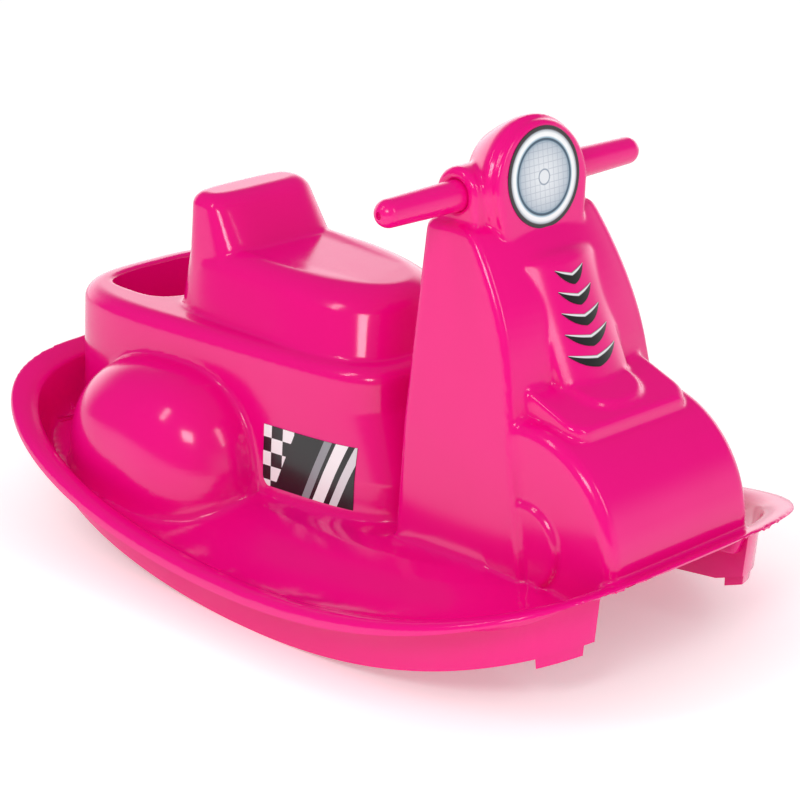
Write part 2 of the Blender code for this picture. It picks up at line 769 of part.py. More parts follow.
def deck_height(y):
    """Top of the mudguard's cap, which slopes down towards the front."""
    return DECK_FRONT_Z + DECK_SLOPE * (y - DECK_FRONT_Y)


def make_deck(wall, steps, count, collection):
    """Raised cap on top of the mudguard, in front of the panel."""
    rings = []
    levels = [(0.0, -DECK_DEPTH - wall)] + rounded_top(-wall, DECK_EDGE_ROUND - wall / 2, steps)
    for inset, depth in levels:
        inset += wall
        outline = rounded_quad(DECK_FRONT_Y + inset, DECK_ROOT_Y, DECK_FRONT_HALF - inset,
                               DECK_ROOT_HALF - inset, DECK_CORNER_ROUND - wall,
                               DECK_CORNER_ROUND - wall, count)
        rings.append([(x, y, deck_height(y) + depth) for x, y in outline])
    return loft("deck", rings, collection)


def make_hump(collection):
    """Low oval swelling on the cap, where the panel comes down on it."""
    rings = []
    for inset, rise in [(0.0, -0.012)] + rounded_top(HUMP_RISE, 0.008, 2):
        outline = rounded_oval(HUMP_Y - HUMP_DEPTH + inset, HUMP_Y + HUMP_DEPTH - inset,
                               HUMP_HALF - inset, HUMP_HALF - inset, 2.3, 2.3, 20)
        rings.append([(x, y, deck_height(y) + rise) for x, y in outline])
    return loft("hump", rings, collection)


def make_hub(side, wall, count, collection):
    """Round step on the mudguard's side that stands for the front wheel."""
    rings = []
    for inset, x in [(0.0, FENDER_HALF - 0.02)] + rounded_top(FENDER_HALF + HUB_PROUD - wall, 0.005, 2):
        radius = HUB_RADIUS - wall - inset
        rings.append([(side * x, HUB_Y + radius * math.cos(angle), FENDER_CENTRE_Z + radius * math.sin(angle))
                      for angle in [2 * math.pi * i / count for i in range(count)]])
    return loft("hub", rings, collection)


def bin_outline(inset, count):
    return rounded_oval(BIN_FRONT_Y + inset, BIN_REAR_Y - inset, BIN_HALF - inset,
                        BIN_HALF - inset, BIN_POWER, BIN_POWER, count)


def make_bin(outset, collection):
    """The space inside the rear bin; moved out by the wall it is the bin's outside."""
    count = 32
    floor = BIN_FLOOR_Z - outset
    corner = BIN_FLOOR_ROUND
    rings = []
    for i in range(3):
        angle = math.pi / 2 * i / 2
        inset = corner * (1 - math.sin(angle)) - outset
        z = floor + corner * (1 - math.cos(angle))
        rings.append(flat_ring(bin_outline(inset + BIN_DRAFT * (BODY_TOP_Z - z), count), z))
    mouth = BODY_TOP_Z - BIN_EDGE_ROUND
    for i in range(3):
        angle = math.pi / 2 * i / 2
        inset = -BIN_EDGE_ROUND * (1 - math.cos(angle)) - outset
        z = mouth + BIN_EDGE_ROUND * math.sin(angle)
        rings.append(flat_ring(bin_outline(inset, count), z))
    rings.append(flat_ring(bin_outline(-BIN_EDGE_ROUND - outset, count), BODY_TOP_Z + 0.01))
    return loft("bin", rings, collection)


# The one-piece shell


def below_rim(collection):
    """The part of the rim's wall that the drawing takes down past its real lower edge."""
    trim = below_arc(RUNNER_DEPTH, collection)
    outline = tray_outline(RIM_CREST_INSET, TRAY_POINTS)
    rings = [flat_ring(outline, z) for z in (-TRAY_LENGTH, TRAY_LENGTH)]
    return combine(trim, loft("inside_rim", rings, collection), "DIFFERENCE")


def outer_solid(collection):
    parts = [make_tray_block(0.0, TRAY_POINTS, None, collection), make_body(0.0, 3, 56, collection),
             make_seat(0.0, 3, 40, collection), make_backrest(0.0, 4, 40, collection),
             make_column(0.0, 3, 3, collection), make_head(0.0, 26, collection),
             make_panel(0.0, 2, 13, collection), make_fender(0.0, 3, 13, collection),
             make_deck(0.0, 2, 3, collection), make_hump(collection)]
    for side in (1, -1):
        parts.append(make_bulge(side, 0.0, 7, 23, collection))
        parts.append(make_collar(side, 0.0, 3, 15, collection))
        parts.append(make_hub(side, 0.0, 20, collection))
    return merge_all(parts)


def inner_solid(collection):
    parts = [make_tray_block(WALL, TRAY_UNDERSIDE_POINTS, TRAY_UNDERSIDE_PICK, collection),
             make_body(WALL, 1, 40, collection),
             make_seat(WALL, 1, 28, collection), make_backrest(WALL, 1, 24, collection),
             make_column(WALL, 1, 1, collection), make_head(WALL, 14, collection),
             make_panel(WALL, 1, 7, collection), make_fender(WALL, 1, 9, collection),
             make_deck(WALL, 1, 2, collection)]
    for side in (1, -1):
        parts.append(make_bulge(side, WALL, 4, 13, collection))
        parts.append(make_collar(side, WALL, 2, 9, collection))
    space = merge_all(parts)
    combine(space, make_bin(WALL, collection), "DIFFERENCE")
    for side in (1, -1):
        sleeve = cylinder_x("sleeve", SOCKET_MOUTH_RADIUS + WALL, side * SLEEVE_INNER_X,
                            side * (COLLAR_FACE_X + WALL), HANDLE_Y, HANDLE_Z, 28, collection)
        combine(space, sleeve, "DIFFERENCE")
    return space


def cylinder_z(name, radius, x, y, z_from, z_to, sides, collection):
    mesh = bpy.data.meshes.new(name)
    work = bmesh.new()
    bmesh.ops.create_cone(work, cap_ends=True, segments=sides, radius1=radius, radius2=radius,
                          depth=z_to - z_from, matrix=Matrix.Translation((x, y, (z_from + z_to) / 2)))
    work.to_mesh(mesh)
    work.free()
    return add_object(name, mesh, collection)


def cut_sockets(shell, collection):
    for side in (1, -1):
        mouth = cylinder_x("mouth", SOCKET_MOUTH_RADIUS, side * (COLLAR_FACE_X - SOCKET_MOUTH_DEPTH),
                           side * (COLLAR_FACE_X + 0.02), HANDLE_Y, HANDLE_Z, 32, collection)
        combine(shell, mouth, "DIFFERENCE")
        bore = cylinder_x("bore", SOCKET_BORE_RADIUS, side * (SLEEVE_INNER_X - 0.005),
                          side * (COLLAR_FACE_X + 0.02), HANDLE_Y, HANDLE_Z, 32, collection)
        combine(shell, bore, "DIFFERENCE")
        hole = cylinder_z("screw_hole", SCREW_SHANK_RADIUS + SCREW_CLEARANCE, side * SCREW_X,
                          HANDLE_Y, HANDLE_Z - SOCKET_MOUTH_RADIUS - WALL * 2,
                          HANDLE_Z - SOCKET_BORE_RADIUS / 2, 12, collection)
        combine(shell, hole, "DIFFERENCE")


def make_stops(collection):
    """Hollow stub feet under the four end boxes of the runners."""
    stubs = []
    end_y = runner_end_y()
    for side in (1, -1):
        for end in (-1, 1):
            stub = runner_block("stop", side, STOP_INSET, RUNNER_INNER_X + STOP_INNER_INSET, collection)
            combine(stub, below_arc(-STOP_HEIGHT, collection), "DIFFERENCE")
            combine(stub, below_arc(STOP_HEIGHT, collection), "INTERSECT")
            combine(stub, end_slab(end, end_y - STOP_LENGTH, collection), "INTERSECT")
            hollow = runner_block("stop_hollow", side, STOP_INSET + WALL,
                                  RUNNER_INNER_X + STOP_INNER_INSET + WALL, collection)
            combine(hollow, end_slab(end, end_y - STOP_LENGTH + WALL, collection), "INTERSECT")
            combine(stub, hollow, "DIFFERENCE")
            stubs.append(stub)
    return stubs


def end_slab(end, near_y, collection):
    """All the space beyond a place near the front or the rear end."""
    y_pair = sorted((end * near_y, end * TRAY_LENGTH))
    return box("end_slab", (-TRAY_WIDTH, y_pair[0], -TRAY_WIDTH),
               (TRAY_WIDTH, y_pair[1], TRAY_WIDTH), collection)


def tidy_mesh(mesh):
    """Join the triangles that lie in one plane, and the points that crowd together."""
    work = bmesh.new()
    work.from_mesh(mesh)
    bmesh.ops.remove_doubles(work, verts=work.verts, dist=MERGE_STEP)
    bmesh.ops.dissolve_degenerate(work, edges=work.edges, dist=MERGE_STEP)
    bmesh.ops.dissolve_limit(work, verts=work.verts, edges=work.edges, angle_limit=FLAT_ANGLE)
    bmesh.ops.triangulate(work, faces=work.faces)
    work.to_mesh(mesh)
    work.free()


def make_shell(collection, cutters):
    shell = outer_solid(cutters)
    combine(shell, below_rim(cutters), "DIFFERENCE")
    combine(shell, inner_solid(cutters), "DIFFERENCE")
    combine(shell, make_bin(0.0, cutters), "DIFFERENCE")
    cut_sockets(shell, cutters)
    under_tray = make_tray_block(WALL / 2, TRAY_POINTS, None, cutters)
    for side in (1, -1):
        combine(shell, make_runner(side, under_tray, cutters), "UNION")
    bpy.data.objects.remove(under_tray)
    for stub in make_stops(cutters):
        combine(shell, stub, "UNION")
    for y, z in ((GATE_HEAD_Y, HEAD_TOP_Z), (GATE_BACKREST_Y, BACKREST_TOP_Z)):
        mark = cylinder_z("gate_mark", GATE_RADIUS, 0.0, y, z - GATE_DEPTH, z + 0.01, 16, cutters)
        combine(shell, mark, "DIFFERENCE")
    tidy_mesh(shell.data)
    body = add_object("body_shell", shell.data, collection)
    bpy.data.objects.remove(shell)
    return body


# Handles and their screws


def make_handle(side, name, collection):
    """Hollow tapered grip with a plug on its inner end; open there, round at the tip."""
    root_x = COLLAR_FACE_X - SOCKET_MOUTH_DEPTH + FIT_GAP
    plug = SOCKET_BORE_RADIUS - FIT_GAP
    straight_x = HANDLE_TIP_X - HANDLE_TIP_RADIUS
    line = [(SPIGOT_INNER_X, plug), (root_x, plug), (root_x, HANDLE_ROOT_RADIUS - 0.0008),
            (root_x + 0.0008, HANDLE_ROOT_RADIUS), (straight_x, HANDLE_TIP_RADIUS)]
    for i in range(1, 6):
        angle = math.pi / 2 * i / 5
        reach = HANDLE_TIP_RADIUS * math.sin(angle)
        radius = max(HANDLE_TIP_RADIUS * math.cos(angle), TIP_DIMPLE_RADIUS)
        line.append((straight_x + reach, radius))
        if radius == TIP_DIMPLE_RADIUS:
            break
    line += [(line[-1][0] - TIP_DIMPLE_DEPTH, TIP_DIMPLE_RADIUS),
             (line[-1][0] - TIP_DIMPLE_DEPTH, 0.0)]
    bore_end = straight_x - HANDLE_WALL
    line += [(bore_end, 0.0), (bore_end, HANDLE_TIP_RADIUS - HANDLE_WALL * 1.6),
             (root_x, plug - HANDLE_WALL), (SPIGOT_INNER_X, plug - HANDLE_WALL)]
    handle = turned_x(name, line, side, 22, collection)
    hole = cylinder_z("pilot", SCREW_SHANK_RADIUS + FIT_GAP, side * SCREW_X, HANDLE_Y,
                      HANDLE_Z - SOCKET_BORE_RADIUS * 2, HANDLE_Z - plug / 2, 12, collection)
    combine(handle, hole, "DIFFERENCE")
    return handle


def turned_x(name, line, side, sides, collection):
    """A closed line of (x, radius) points turned about the handle axis."""
    mesh = bpy.data.meshes.new(name)
    work = bmesh.new()
    columns = []
    for x, radius in line:
        if radius == 0.0:
            columns.append([work.verts.new((side * x, HANDLE_Y, HANDLE_Z))] * sides)
            continue
        columns.append([work.verts.new((side * x, HANDLE_Y + radius * math.cos(angle),
                                        HANDLE_Z + radius * math.sin(angle)))
                        for angle in [2 * math.pi * i / sides for i in range(sides)]])
    for i, here in enumerate(columns):
        there = columns[(i + 1) % len(columns)]
        if here[0] is here[1] and there[0] is there[1]:
            continue
        for j in range(sides):
            k = (j + 1) % sides
            corners = list(dict.fromkeys((here[j], here[k], there[k], there[j])))
            work.faces.new(corners)
    bmesh.ops.recalc_face_normals(work, faces=work.faces)
    work.to_mesh(mesh)
    work.free()
    return add_object(name, mesh, collection)


def make_screw(side, name, collection):
    head_top = HANDLE_Z - SOCKET_MOUTH_RADIUS - WALL - FIT_GAP
    shank_top = HANDLE_Z - SOCKET_BORE_RADIUS + FIT_GAP + HANDLE_WALL + 0.001
    screw = cylinder_z(name, SCREW_HEAD_RADIUS, side * SCREW_X, HANDLE_Y,
                       head_top - SCREW_HEAD_HEIGHT, head_top, 24, collection)
    shank = cylinder_z("shank", SCREW_SHANK_RADIUS, side * SCREW_X, HANDLE_Y,
                       head_top - SCREW_HEAD_HEIGHT / 2, shank_top, 16, collection)
    combine(screw, shank, "UNION")
    slot_depth = SCREW_HEAD_HEIGHT / 2
    for turn in (0.0, math.pi / 2):
        half = (0.0004, 0.0021) if turn else (0.0021, 0.0004)
        low = (side * SCREW_X - half[0], HANDLE_Y - half[1], head_top - SCREW_HEAD_HEIGHT - 0.001)
        high = (side * SCREW_X + half[0], HANDLE_Y + half[1], head_top - SCREW_HEAD_HEIGHT + slot_depth)
        combine(screw, box("drive", low, high, collection), "DIFFERENCE")
    return screw


# Printed labels


def make_headlamp_label(collection):
    """Round label on the leaning face of the head."""
    tilt = math.atan(HEAD_LEAN)
    centre_z = HEADLAMP_LABEL_Z
    face_y = HEAD_FRONT_Y + head_lean(centre_z)
    off = FIT_GAP + LABEL_THICKNESS / 2
    centre = Vector((0.0, face_y - off * math.cos(tilt), centre_z + off * math.sin(tilt)))
    mesh = bpy.data.meshes.new("headlamp_label")
    work = bmesh.new()
    place = Matrix.Translation(centre) @ Matrix.Rotation(math.pi / 2 - tilt, 4, "X")
    bmesh.ops.create_cone(work, cap_ends=True, segments=48, radius1=HEADLAMP_LABEL_RADIUS,
                          radius2=HEADLAMP_LABEL_RADIUS, depth=LABEL_THICKNESS, matrix=place)
    work.to_mesh(mesh)
    work.free()
    return add_object("headlight_sticker", mesh, collection)


def plate_between(name, front, back, collection):
    """A thin closed plate from two like grids of points, rows by columns."""
    mesh = bpy.data.meshes.new(name)
    work = bmesh.new()
    sheets = [[[work.verts.new(point) for point in row] for row in grid] for grid in (front, back)]
    rows, columns = len(front), len(front[0])
    for sheet in sheets:
        for i in range(rows - 1):
            for j in range(columns - 1):
                work.faces.new((sheet[i][j], sheet[i][j + 1], sheet[i + 1][j + 1], sheet[i + 1][j]))
    edge = [(0, j) for j in range(columns)] + [(i, columns - 1) for i in range(1, rows)]
    edge += [(rows - 1, j) for j in reversed(range(columns - 1))]
    edge += [(i, 0) for i in reversed(range(1, rows - 1))]
    for (i, j), (k, m) in zip(edge, edge[1:] + edge[:1]):
        work.faces.new((sheets[0][i][j], sheets[0][k][m], sheets[1][k][m], sheets[1][i][j]))
    bmesh.ops.recalc_face_normals(work, faces=work.faces)
    work.to_mesh(mesh)
    work.free()
    return add_object(name, mesh, collection)


def make_vent_label(number, collection):
    """One of the curved slot pictures: a V-notched strip that follows the panel's bow."""
    half = VENT_TOP_HALF + VENT_GROWTH * number
    tip_z = VENT_TOP_Z - VENT_PITCH * number
    rows = []
    for level in range(2):
        row = []
        for share in spread(-1.0, 1.0, 9):
            upper = tip_z - VENT_DIP * (1 - abs(share))
            depth = VENT_BODY * (1 - abs(share) ** 2.5) + VENT_TIP_HEIGHT
            row.append((half * share, upper - depth * level))
        rows.append(row)
    grids = []
    for lift in (FIT_GAP + LABEL_THICKNESS, FIT_GAP):
        grids.append([[(x, panel_front(x, z) - lift, z) for x, z in row] for row in rows])
    return plate_between(f"vent_sticker_{number + 1}", grids[0], grids[1], collection)


def body_side(y, z):
    """Half width of the lower body at a place along and up."""
    inset = BODY_DRAFT * z
    middle = (body_front(z) + BODY_REAR_Y) / 2
    share = (y - middle) / ((BODY_REAR_Y - body_front(z)) / 2 - inset)
    half = BODY_FRONT_HALF + (BODY_REAR_HALF - BODY_FRONT_HALF) * (share + 1) / 2 - inset
    power = BODY_FRONT_POWER if share < 0 else BODY_REAR_POWER
    return half * (1 - abs(share) ** power) ** (1 / power)


def make_side_label(side, name, collection):
    rows = []
    for z in spread(SIDE_LABEL_LOW_Z, SIDE_LABEL_HIGH_Z, 3):
        rows.append([(y, z) for y in spread(SIDE_LABEL_FRONT_Y, SIDE_LABEL_REAR_Y, 9)])
    grids = []
    for lift in (FIT_GAP + LABEL_THICKNESS, FIT_GAP):
        grids.append([[(side * (body_side(y, z) + lift), y, z) for y, z in row] for row in rows])
    return plate_between(name, grids[0], grids[1], collection)


def finish(thing, material):
    thing.data.materials.clear()
    thing.data.materials.append(material)
    for polygon in thing.data.polygons:
        polygon.material_index = 0
    for polygon in thing.data.polygons:
        polygon.use_smooth = True
    thing.data.set_sharp_from_angle(angle=math.radians(28))


def main():
    for thing in list(bpy.data.objects):
        bpy.data.objects.remove(thing)
    parts = new_collection("rocking_motorcycle")
    cutters = new_collection("cutters")
    plastic = make_material("pink_plastic", PINK, 0.18)
    grip_plastic = make_material("pink_handle_plastic", PINK, 0.2)
    lamp_print = make_material("lamp_print", LENS_GREY, 0.3)
    vent_print = make_material("vent_print", LABEL_BLACK, 0.35)
    side_print = make_material("side_print", LABEL_BLACK, 0.4)
    steel = make_material("plated_steel", STEEL, 0.3, 1.0)
    finish(make_shell(parts, cutters), plastic)
    for side, word in ((1, "right"), (-1, "left")):
        finish(make_handle(side, f"handle_{word}", parts), grip_plastic)
        finish(make_screw(side, f"handle_screw_{word}", parts), steel)
        finish(make_side_label(side, f"side_sticker_{word}", parts), side_print)
    finish(make_headlamp_label(parts), lamp_print)
    for number in range(VENT_COUNT):
        finish(make_vent_label(number, parts), vent_print)


main()
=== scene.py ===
import math

import bmesh
import bpy
import numpy as np
from mathutils import Matrix, Vector
from mathutils.bvhtree import BVHTree


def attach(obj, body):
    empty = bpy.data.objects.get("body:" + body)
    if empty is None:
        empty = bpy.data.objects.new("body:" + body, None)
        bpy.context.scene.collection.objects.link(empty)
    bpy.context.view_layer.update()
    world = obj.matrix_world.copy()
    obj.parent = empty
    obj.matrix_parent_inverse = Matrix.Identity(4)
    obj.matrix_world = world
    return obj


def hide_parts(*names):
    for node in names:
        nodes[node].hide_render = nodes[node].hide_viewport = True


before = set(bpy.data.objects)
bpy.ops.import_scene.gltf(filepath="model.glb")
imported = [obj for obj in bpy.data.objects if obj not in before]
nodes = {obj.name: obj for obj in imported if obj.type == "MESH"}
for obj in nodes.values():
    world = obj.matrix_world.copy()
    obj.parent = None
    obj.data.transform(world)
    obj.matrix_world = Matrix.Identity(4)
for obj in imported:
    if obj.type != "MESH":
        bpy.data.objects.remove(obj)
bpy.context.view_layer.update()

# Moulded shell, upper skin
# The tray, body, seat, column and head are one hollow moulding of polypropylene (PP), 3 mm
# thick, dyed hot pink right through. It is drawn as filled solids, grown together, their
# inside corners filled out to soft fillets, then opened below the rim and given its wall.
SHELL_PINK = "ee0582"
SHELL_DEEP_PINK = "e6027a"
FLOW_WIDTH = 0.110
RIPPLE_WIDTH = 0.040
WALL = 0.003
GROUND_SINK = 0.02
VOXEL = 0.0017
FILLET_ROUNDS = 90

ROCK_RADIUS = 0.921
ROCK_LOW_Y = -0.028
RUNNER_DEPTH = 0.046
RUNNER_FLAT = 0.024
TRAY_LENGTH = 0.784
TRAY_WIDTH = 0.485
TRAY_SQUARENESS = 3.8
RIM_RISE = 0.013
RIM_END_FADE = 0.85
RIM_CREST_INSET = 0.010
FLOOR_Z = 0.0805
FLOOR_RADIUS = 2.0
FLOOR_SIDE_FALL = 0.027
FLOOR_FALL_START = 0.028
FLOOR_FALL_END = 0.140
FLOOR_INSETS = (0.032, 0.040, 0.050, 0.060, 0.072, 0.084, 0.095, 0.115, 0.135)


def spread(start, end, count):
    return [start + (end - start) * i / (count - 1) for i in range(count)]


def add_object(name, data):
    thing = bpy.data.objects.new(name, data)
    bpy.context.scene.collection.objects.link(thing)
    return thing


def drawn(name, work):
    """The finished drawing as an object of its own."""
    mesh = bpy.data.meshes.new(name)
    work.to_mesh(mesh)
    work.free()
    return add_object(name, mesh)


def rounded_oval(front_y, rear_y, front_half, rear_half, front_power, rear_power, count):
    """A closed outline, square-shouldered as its powers grow, starting at the front."""
    middle = (front_y + rear_y) / 2
    reach = (rear_y - front_y) / 2
    points = []
    for i in range(count):
        angle = -math.pi / 2 + 2 * math.pi * i / count
        along, across = math.sin(angle), math.cos(angle)
        power = front_power if along < 0 else rear_power
        y = math.copysign(abs(along) ** (2 / power), along)
        x = math.copysign(abs(across) ** (2 / power), across) if abs(across) > 1e-9 else 0.0
        half = front_half + (rear_half - front_half) * (y + 1) / 2
        points.append((x * half, middle + y * reach))
    return points


def loft(name, rings, strips=False):
    """A closed solid through rings of equal count, its ends closed flat or with strips."""
    work = bmesh.new()
    rows = [[work.verts.new(point) for point in ring] for ring in rings]
    count = len(rows[0])
    for lower, upper in zip(rows, rows[1:]):
        for i in range(count):
            j = (i + 1) % count
            work.faces.new((lower[i], lower[j], upper[j], upper[i]))
    for row in (rows[0], rows[-1]):
        if strips:
            for i in range(count // 2):
                corners = [row[i], row[i + 1], row[-(i + 1) % count], row[-i % count]]
                work.faces.new(list(dict.fromkeys(corners)))
        else:
            work.faces.new(row)
    bmesh.ops.triangulate(work, faces=[face for face in work.faces if len(face.verts) == 4])
    bmesh.ops.recalc_face_normals(work, faces=work.faces)
    return drawn(name, work)


def with_modifiers(thing):
    """The mesh of an object after its modifiers, which are then dropped."""
    graph = bpy.context.evaluated_depsgraph_get()
    result = bpy.data.meshes.new_from_object(thing.evaluated_get(graph))
    thing.modifiers.clear()
    thing.data = result
    return thing


def combine(target, tool, operation, keep=False):
    modifier = target.modifiers.new(operation.lower(), "BOOLEAN")
    modifier.operation = operation
    modifier.solver = "EXACT"
    modifier.object = tool
    with_modifiers(target)
    if not keep:
        bpy.data.objects.remove(tool)
    return target


def joined(name, things):
    """One mesh that holds those of all the things, which are removed."""
    work = bmesh.new()
    for thing in things:
        work.from_mesh(thing.data)
        bpy.data.objects.remove(thing)
    return drawn(name, work)


def flat_ring(outline, z):
    return [(x, y, z) for x, y in outline]


def turned(name, line, sides, place):
    """A closed line of (along, radius) points turned about PLACE's own Z axis."""
    work = bmesh.new()
    columns = []
    for along, radius in line:
        angles = [2 * math.pi * i / sides for i in range(sides)] if radius else [0.0]
        ring = [work.verts.new(place @ Vector((radius * math.cos(a), radius * math.sin(a), along)))
                for a in angles]
        columns.append(ring if radius else ring * sides)
    for here, there in zip(columns, columns[1:] + columns[:1]):
        if here[0] is here[1] and there[0] is there[1]:
            continue
        for j in range(sides):
            k = (j + 1) % sides
            work.faces.new(list(dict.fromkeys((here[j], here[k], there[k], there[j]))))
    bmesh.ops.recalc_face_normals(work, faces=work.faces)
    return drawn(name, work)


def arc_height(y, lift):
    """Height of the runners' rolling curve, raised by LIFT."""
    flat_drop = ROCK_RADIUS - math.sqrt(ROCK_RADIUS ** 2 - (RUNNER_FLAT / 2) ** 2)
    return lift + ROCK_RADIUS - math.sqrt(ROCK_RADIUS ** 2 - (y - ROCK_LOW_Y) ** 2) - flat_drop


def tray_outline(inset, count):
    half_length = TRAY_LENGTH / 2 - inset
    half_width = TRAY_WIDTH / 2 - inset
    return rounded_oval(-half_length, half_length, half_width, half_width,
                        TRAY_SQUARENESS, TRAY_SQUARENESS, count)


def rim_line():
    """Inset against rise: up the rim's outer side, over its crest, and in to the floor."""
    crest, rise = RIM_CREST_INSET, RIM_RISE
    line = [(crest * (1 - math.cos(a)) ** 1.6, rise * math.sin(a))
            for a in spread(0.0, math.pi / 2, 8)]
    return line + [(crest * 1.35, rise * 0.985), (crest * 1.7, rise * 0.91),
                   (crest * 2.05, rise * 0.73), (crest * 2.35, rise * 0.46)]


def floor_height(inset, y):
    """Top of the tray's floor: an arc from end to end that falls away all round its edge."""
    arc = FLOOR_Z + FLOOR_RADIUS - math.sqrt(FLOOR_RADIUS ** 2 - y ** 2)
    share = (inset - FLOOR_FALL_START) / (FLOOR_FALL_END - FLOOR_FALL_START)
    share = min(max(share, 0.0), 1.0)
    return arc - FLOOR_SIDE_FALL * (1 + math.cos(math.pi * share)) / 2


def tray_rings(count):
    rings = []
    for inset, rise in rim_line():
        rings.append([(x, y, arc_height(y, RUNNER_DEPTH + rise * (
            1 - RIM_END_FADE * abs(2 * y / TRAY_LENGTH) ** 4)))
            for x, y in tray_outline(inset, count)])
    for inset in FLOOR_INSETS:
        rings.append([(x, y, floor_height(inset, y)) for x, y in tray_outline(inset, count)])
    return rings


def make_tray(depth, count):
    """The tray, filled solid down past its rim, with its skin moved in by DEPTH."""
    rings = tray_rings(count)
    last = len(rings) - 1
    moved = []
    for i, ring in enumerate(rings):
        row = []
        for j, point in enumerate(ring):
            along = Vector(ring[(j + 1) % count]) - Vector(ring[j - 1])
            inwards = Vector(rings[min(i + 1, last)][j]) - Vector(rings[max(i - 1, 0)][j])
            row.append(tuple(Vector(point) - along.cross(inwards).normalized() * depth))
        moved.append(row)
    foot = [(x, y, -GROUND_SINK - depth) for x, y, _ in moved[0]]
    return loft("tray", [foot] + moved, strips=True)


BODY_FRONT_Y = -0.084
BODY_REAR_Y = 0.374
BODY_FRONT_HALF = 0.101
BODY_REAR_HALF = 0.143
BODY_TOP_Z = 0.2260
BODY_EDGE_ROUND = 0.015
BODY_NOSE_Z = 0.185
BODY_NOSE_DROP = 0.065
BODY_NOSE_SPLAY = 0.30
BODY_FRONT_POWER = 6.0
BODY_REAR_POWER = 3.4
BODY_DRAFT = 0.045


def rounded_top(z_top, radius, steps):
    """Inset against height for a rounded upper edge, from the side to the top."""
    return [(radius * (1 - math.cos(a)), z_top - radius * (1 - math.sin(a)))
            for a in spread(0.0, math.pi / 2, steps + 1)]


def body_front(z):
    return BODY_FRONT_Y - BODY_NOSE_SPLAY * min(max(BODY_NOSE_Z - z, 0.0), BODY_NOSE_DROP)


def make_body(count):
    levels = [(0.0, -GROUND_SINK), (0.0, BODY_NOSE_Z - BODY_NOSE_DROP), (0.0, BODY_NOSE_Z)]
    levels += rounded_top(BODY_TOP_Z, BODY_EDGE_ROUND, 7)
    rings = []
    for inset, z in levels:
        inset += BODY_DRAFT * z
        rings.append(flat_ring(rounded_oval(
            body_front(z) + inset, BODY_REAR_Y - inset, BODY_FRONT_HALF - inset,
            BODY_REAR_HALF - inset, BODY_FRONT_POWER, BODY_REAR_POWER, count), z))
    return loft("body", rings)


SEAT_FRONT_Y = -0.041
SEAT_REAR_Y = 0.225
SEAT_HALF = 0.071
SEAT_TOP_Z = 0.2915
SEAT_EDGE_ROUND = 0.019
SEAT_DRAFT = 0.25
SEAT_FALL = 0.035
SEAT_TOP_POWER = 2.1
SEAT_FOOT_POWER = 4.6
SEAT_REAR_POWER = 4.5
BACKREST_TOP_Z = 0.3395
BACKREST_FOOT_Y = 0.138
BACKREST_HEAD_Y = 0.168
BACKREST_TOP_HALF = 0.063
BACKREST_EDGE_ROUND = 0.012
BACKREST_REAR_Y = 0.215
BACKREST_REAR_DRAFT = 0.06
BACKREST_FLARE = 0.14
BACKREST_POWER = 3.6


def make_seat(count):
    rings = []
    levels = [(0.0, BODY_TOP_Z - BODY_EDGE_ROUND)] + rounded_top(SEAT_TOP_Z, SEAT_EDGE_ROUND, 8)
    for inset, z in levels:
        drop = SEAT_TOP_Z - z
        inset -= SEAT_DRAFT * drop
        share = min(drop / (SEAT_TOP_Z - BODY_TOP_Z), 1.0)
        power = SEAT_TOP_POWER + (SEAT_FOOT_POWER - SEAT_TOP_POWER) * share
        outline = rounded_oval(SEAT_FRONT_Y + inset, SEAT_REAR_Y - inset * 0.2, SEAT_HALF - inset,
                               SEAT_HALF - inset, power, SEAT_REAR_POWER, count)
        rings.append([(x, y, z - SEAT_FALL * max(BACKREST_FOOT_Y - y, 0.0)) for x, y in outline])
    return loft("seat", rings)


def make_backrest(count):
    foot = SEAT_TOP_Z - SEAT_EDGE_ROUND * 3
    lean = (BACKREST_HEAD_Y - BACKREST_FOOT_Y) / (BACKREST_TOP_Z - SEAT_TOP_Z)
    rings = []
    for inset, z in [(0.0, foot)] + rounded_top(BACKREST_TOP_Z, BACKREST_EDGE_ROUND, 8):
        drop = BACKREST_TOP_Z - z
        half = BACKREST_TOP_HALF + BACKREST_FLARE * drop - inset
        front_y = BACKREST_HEAD_Y - lean * drop + inset
        rear_y = BACKREST_REAR_Y + BACKREST_REAR_DRAFT * drop - inset
        rings.append(flat_ring(rounded_oval(
            front_y, rear_y, half, half, BACKREST_POWER, BACKREST_POWER, count), z))
    return loft("backrest", rings)


BULGE_CENTRE_Y = 0.176
BULGE_REACH = 0.099
BULGE_HALF_LENGTH = 0.1185
BULGE_BASE_Z = 0.060
BULGE_TOP_Z = 0.1875
BULGE_SEAM_X = 0.070
BULGE_SINK = 0.001
BULGE_ARCH_POWER = 2.6
BULGE_FACE_POWER = 3.2
BULGE_PLAN_POWER = 2.7
BULGE_CROWN_SHARE = 0.98


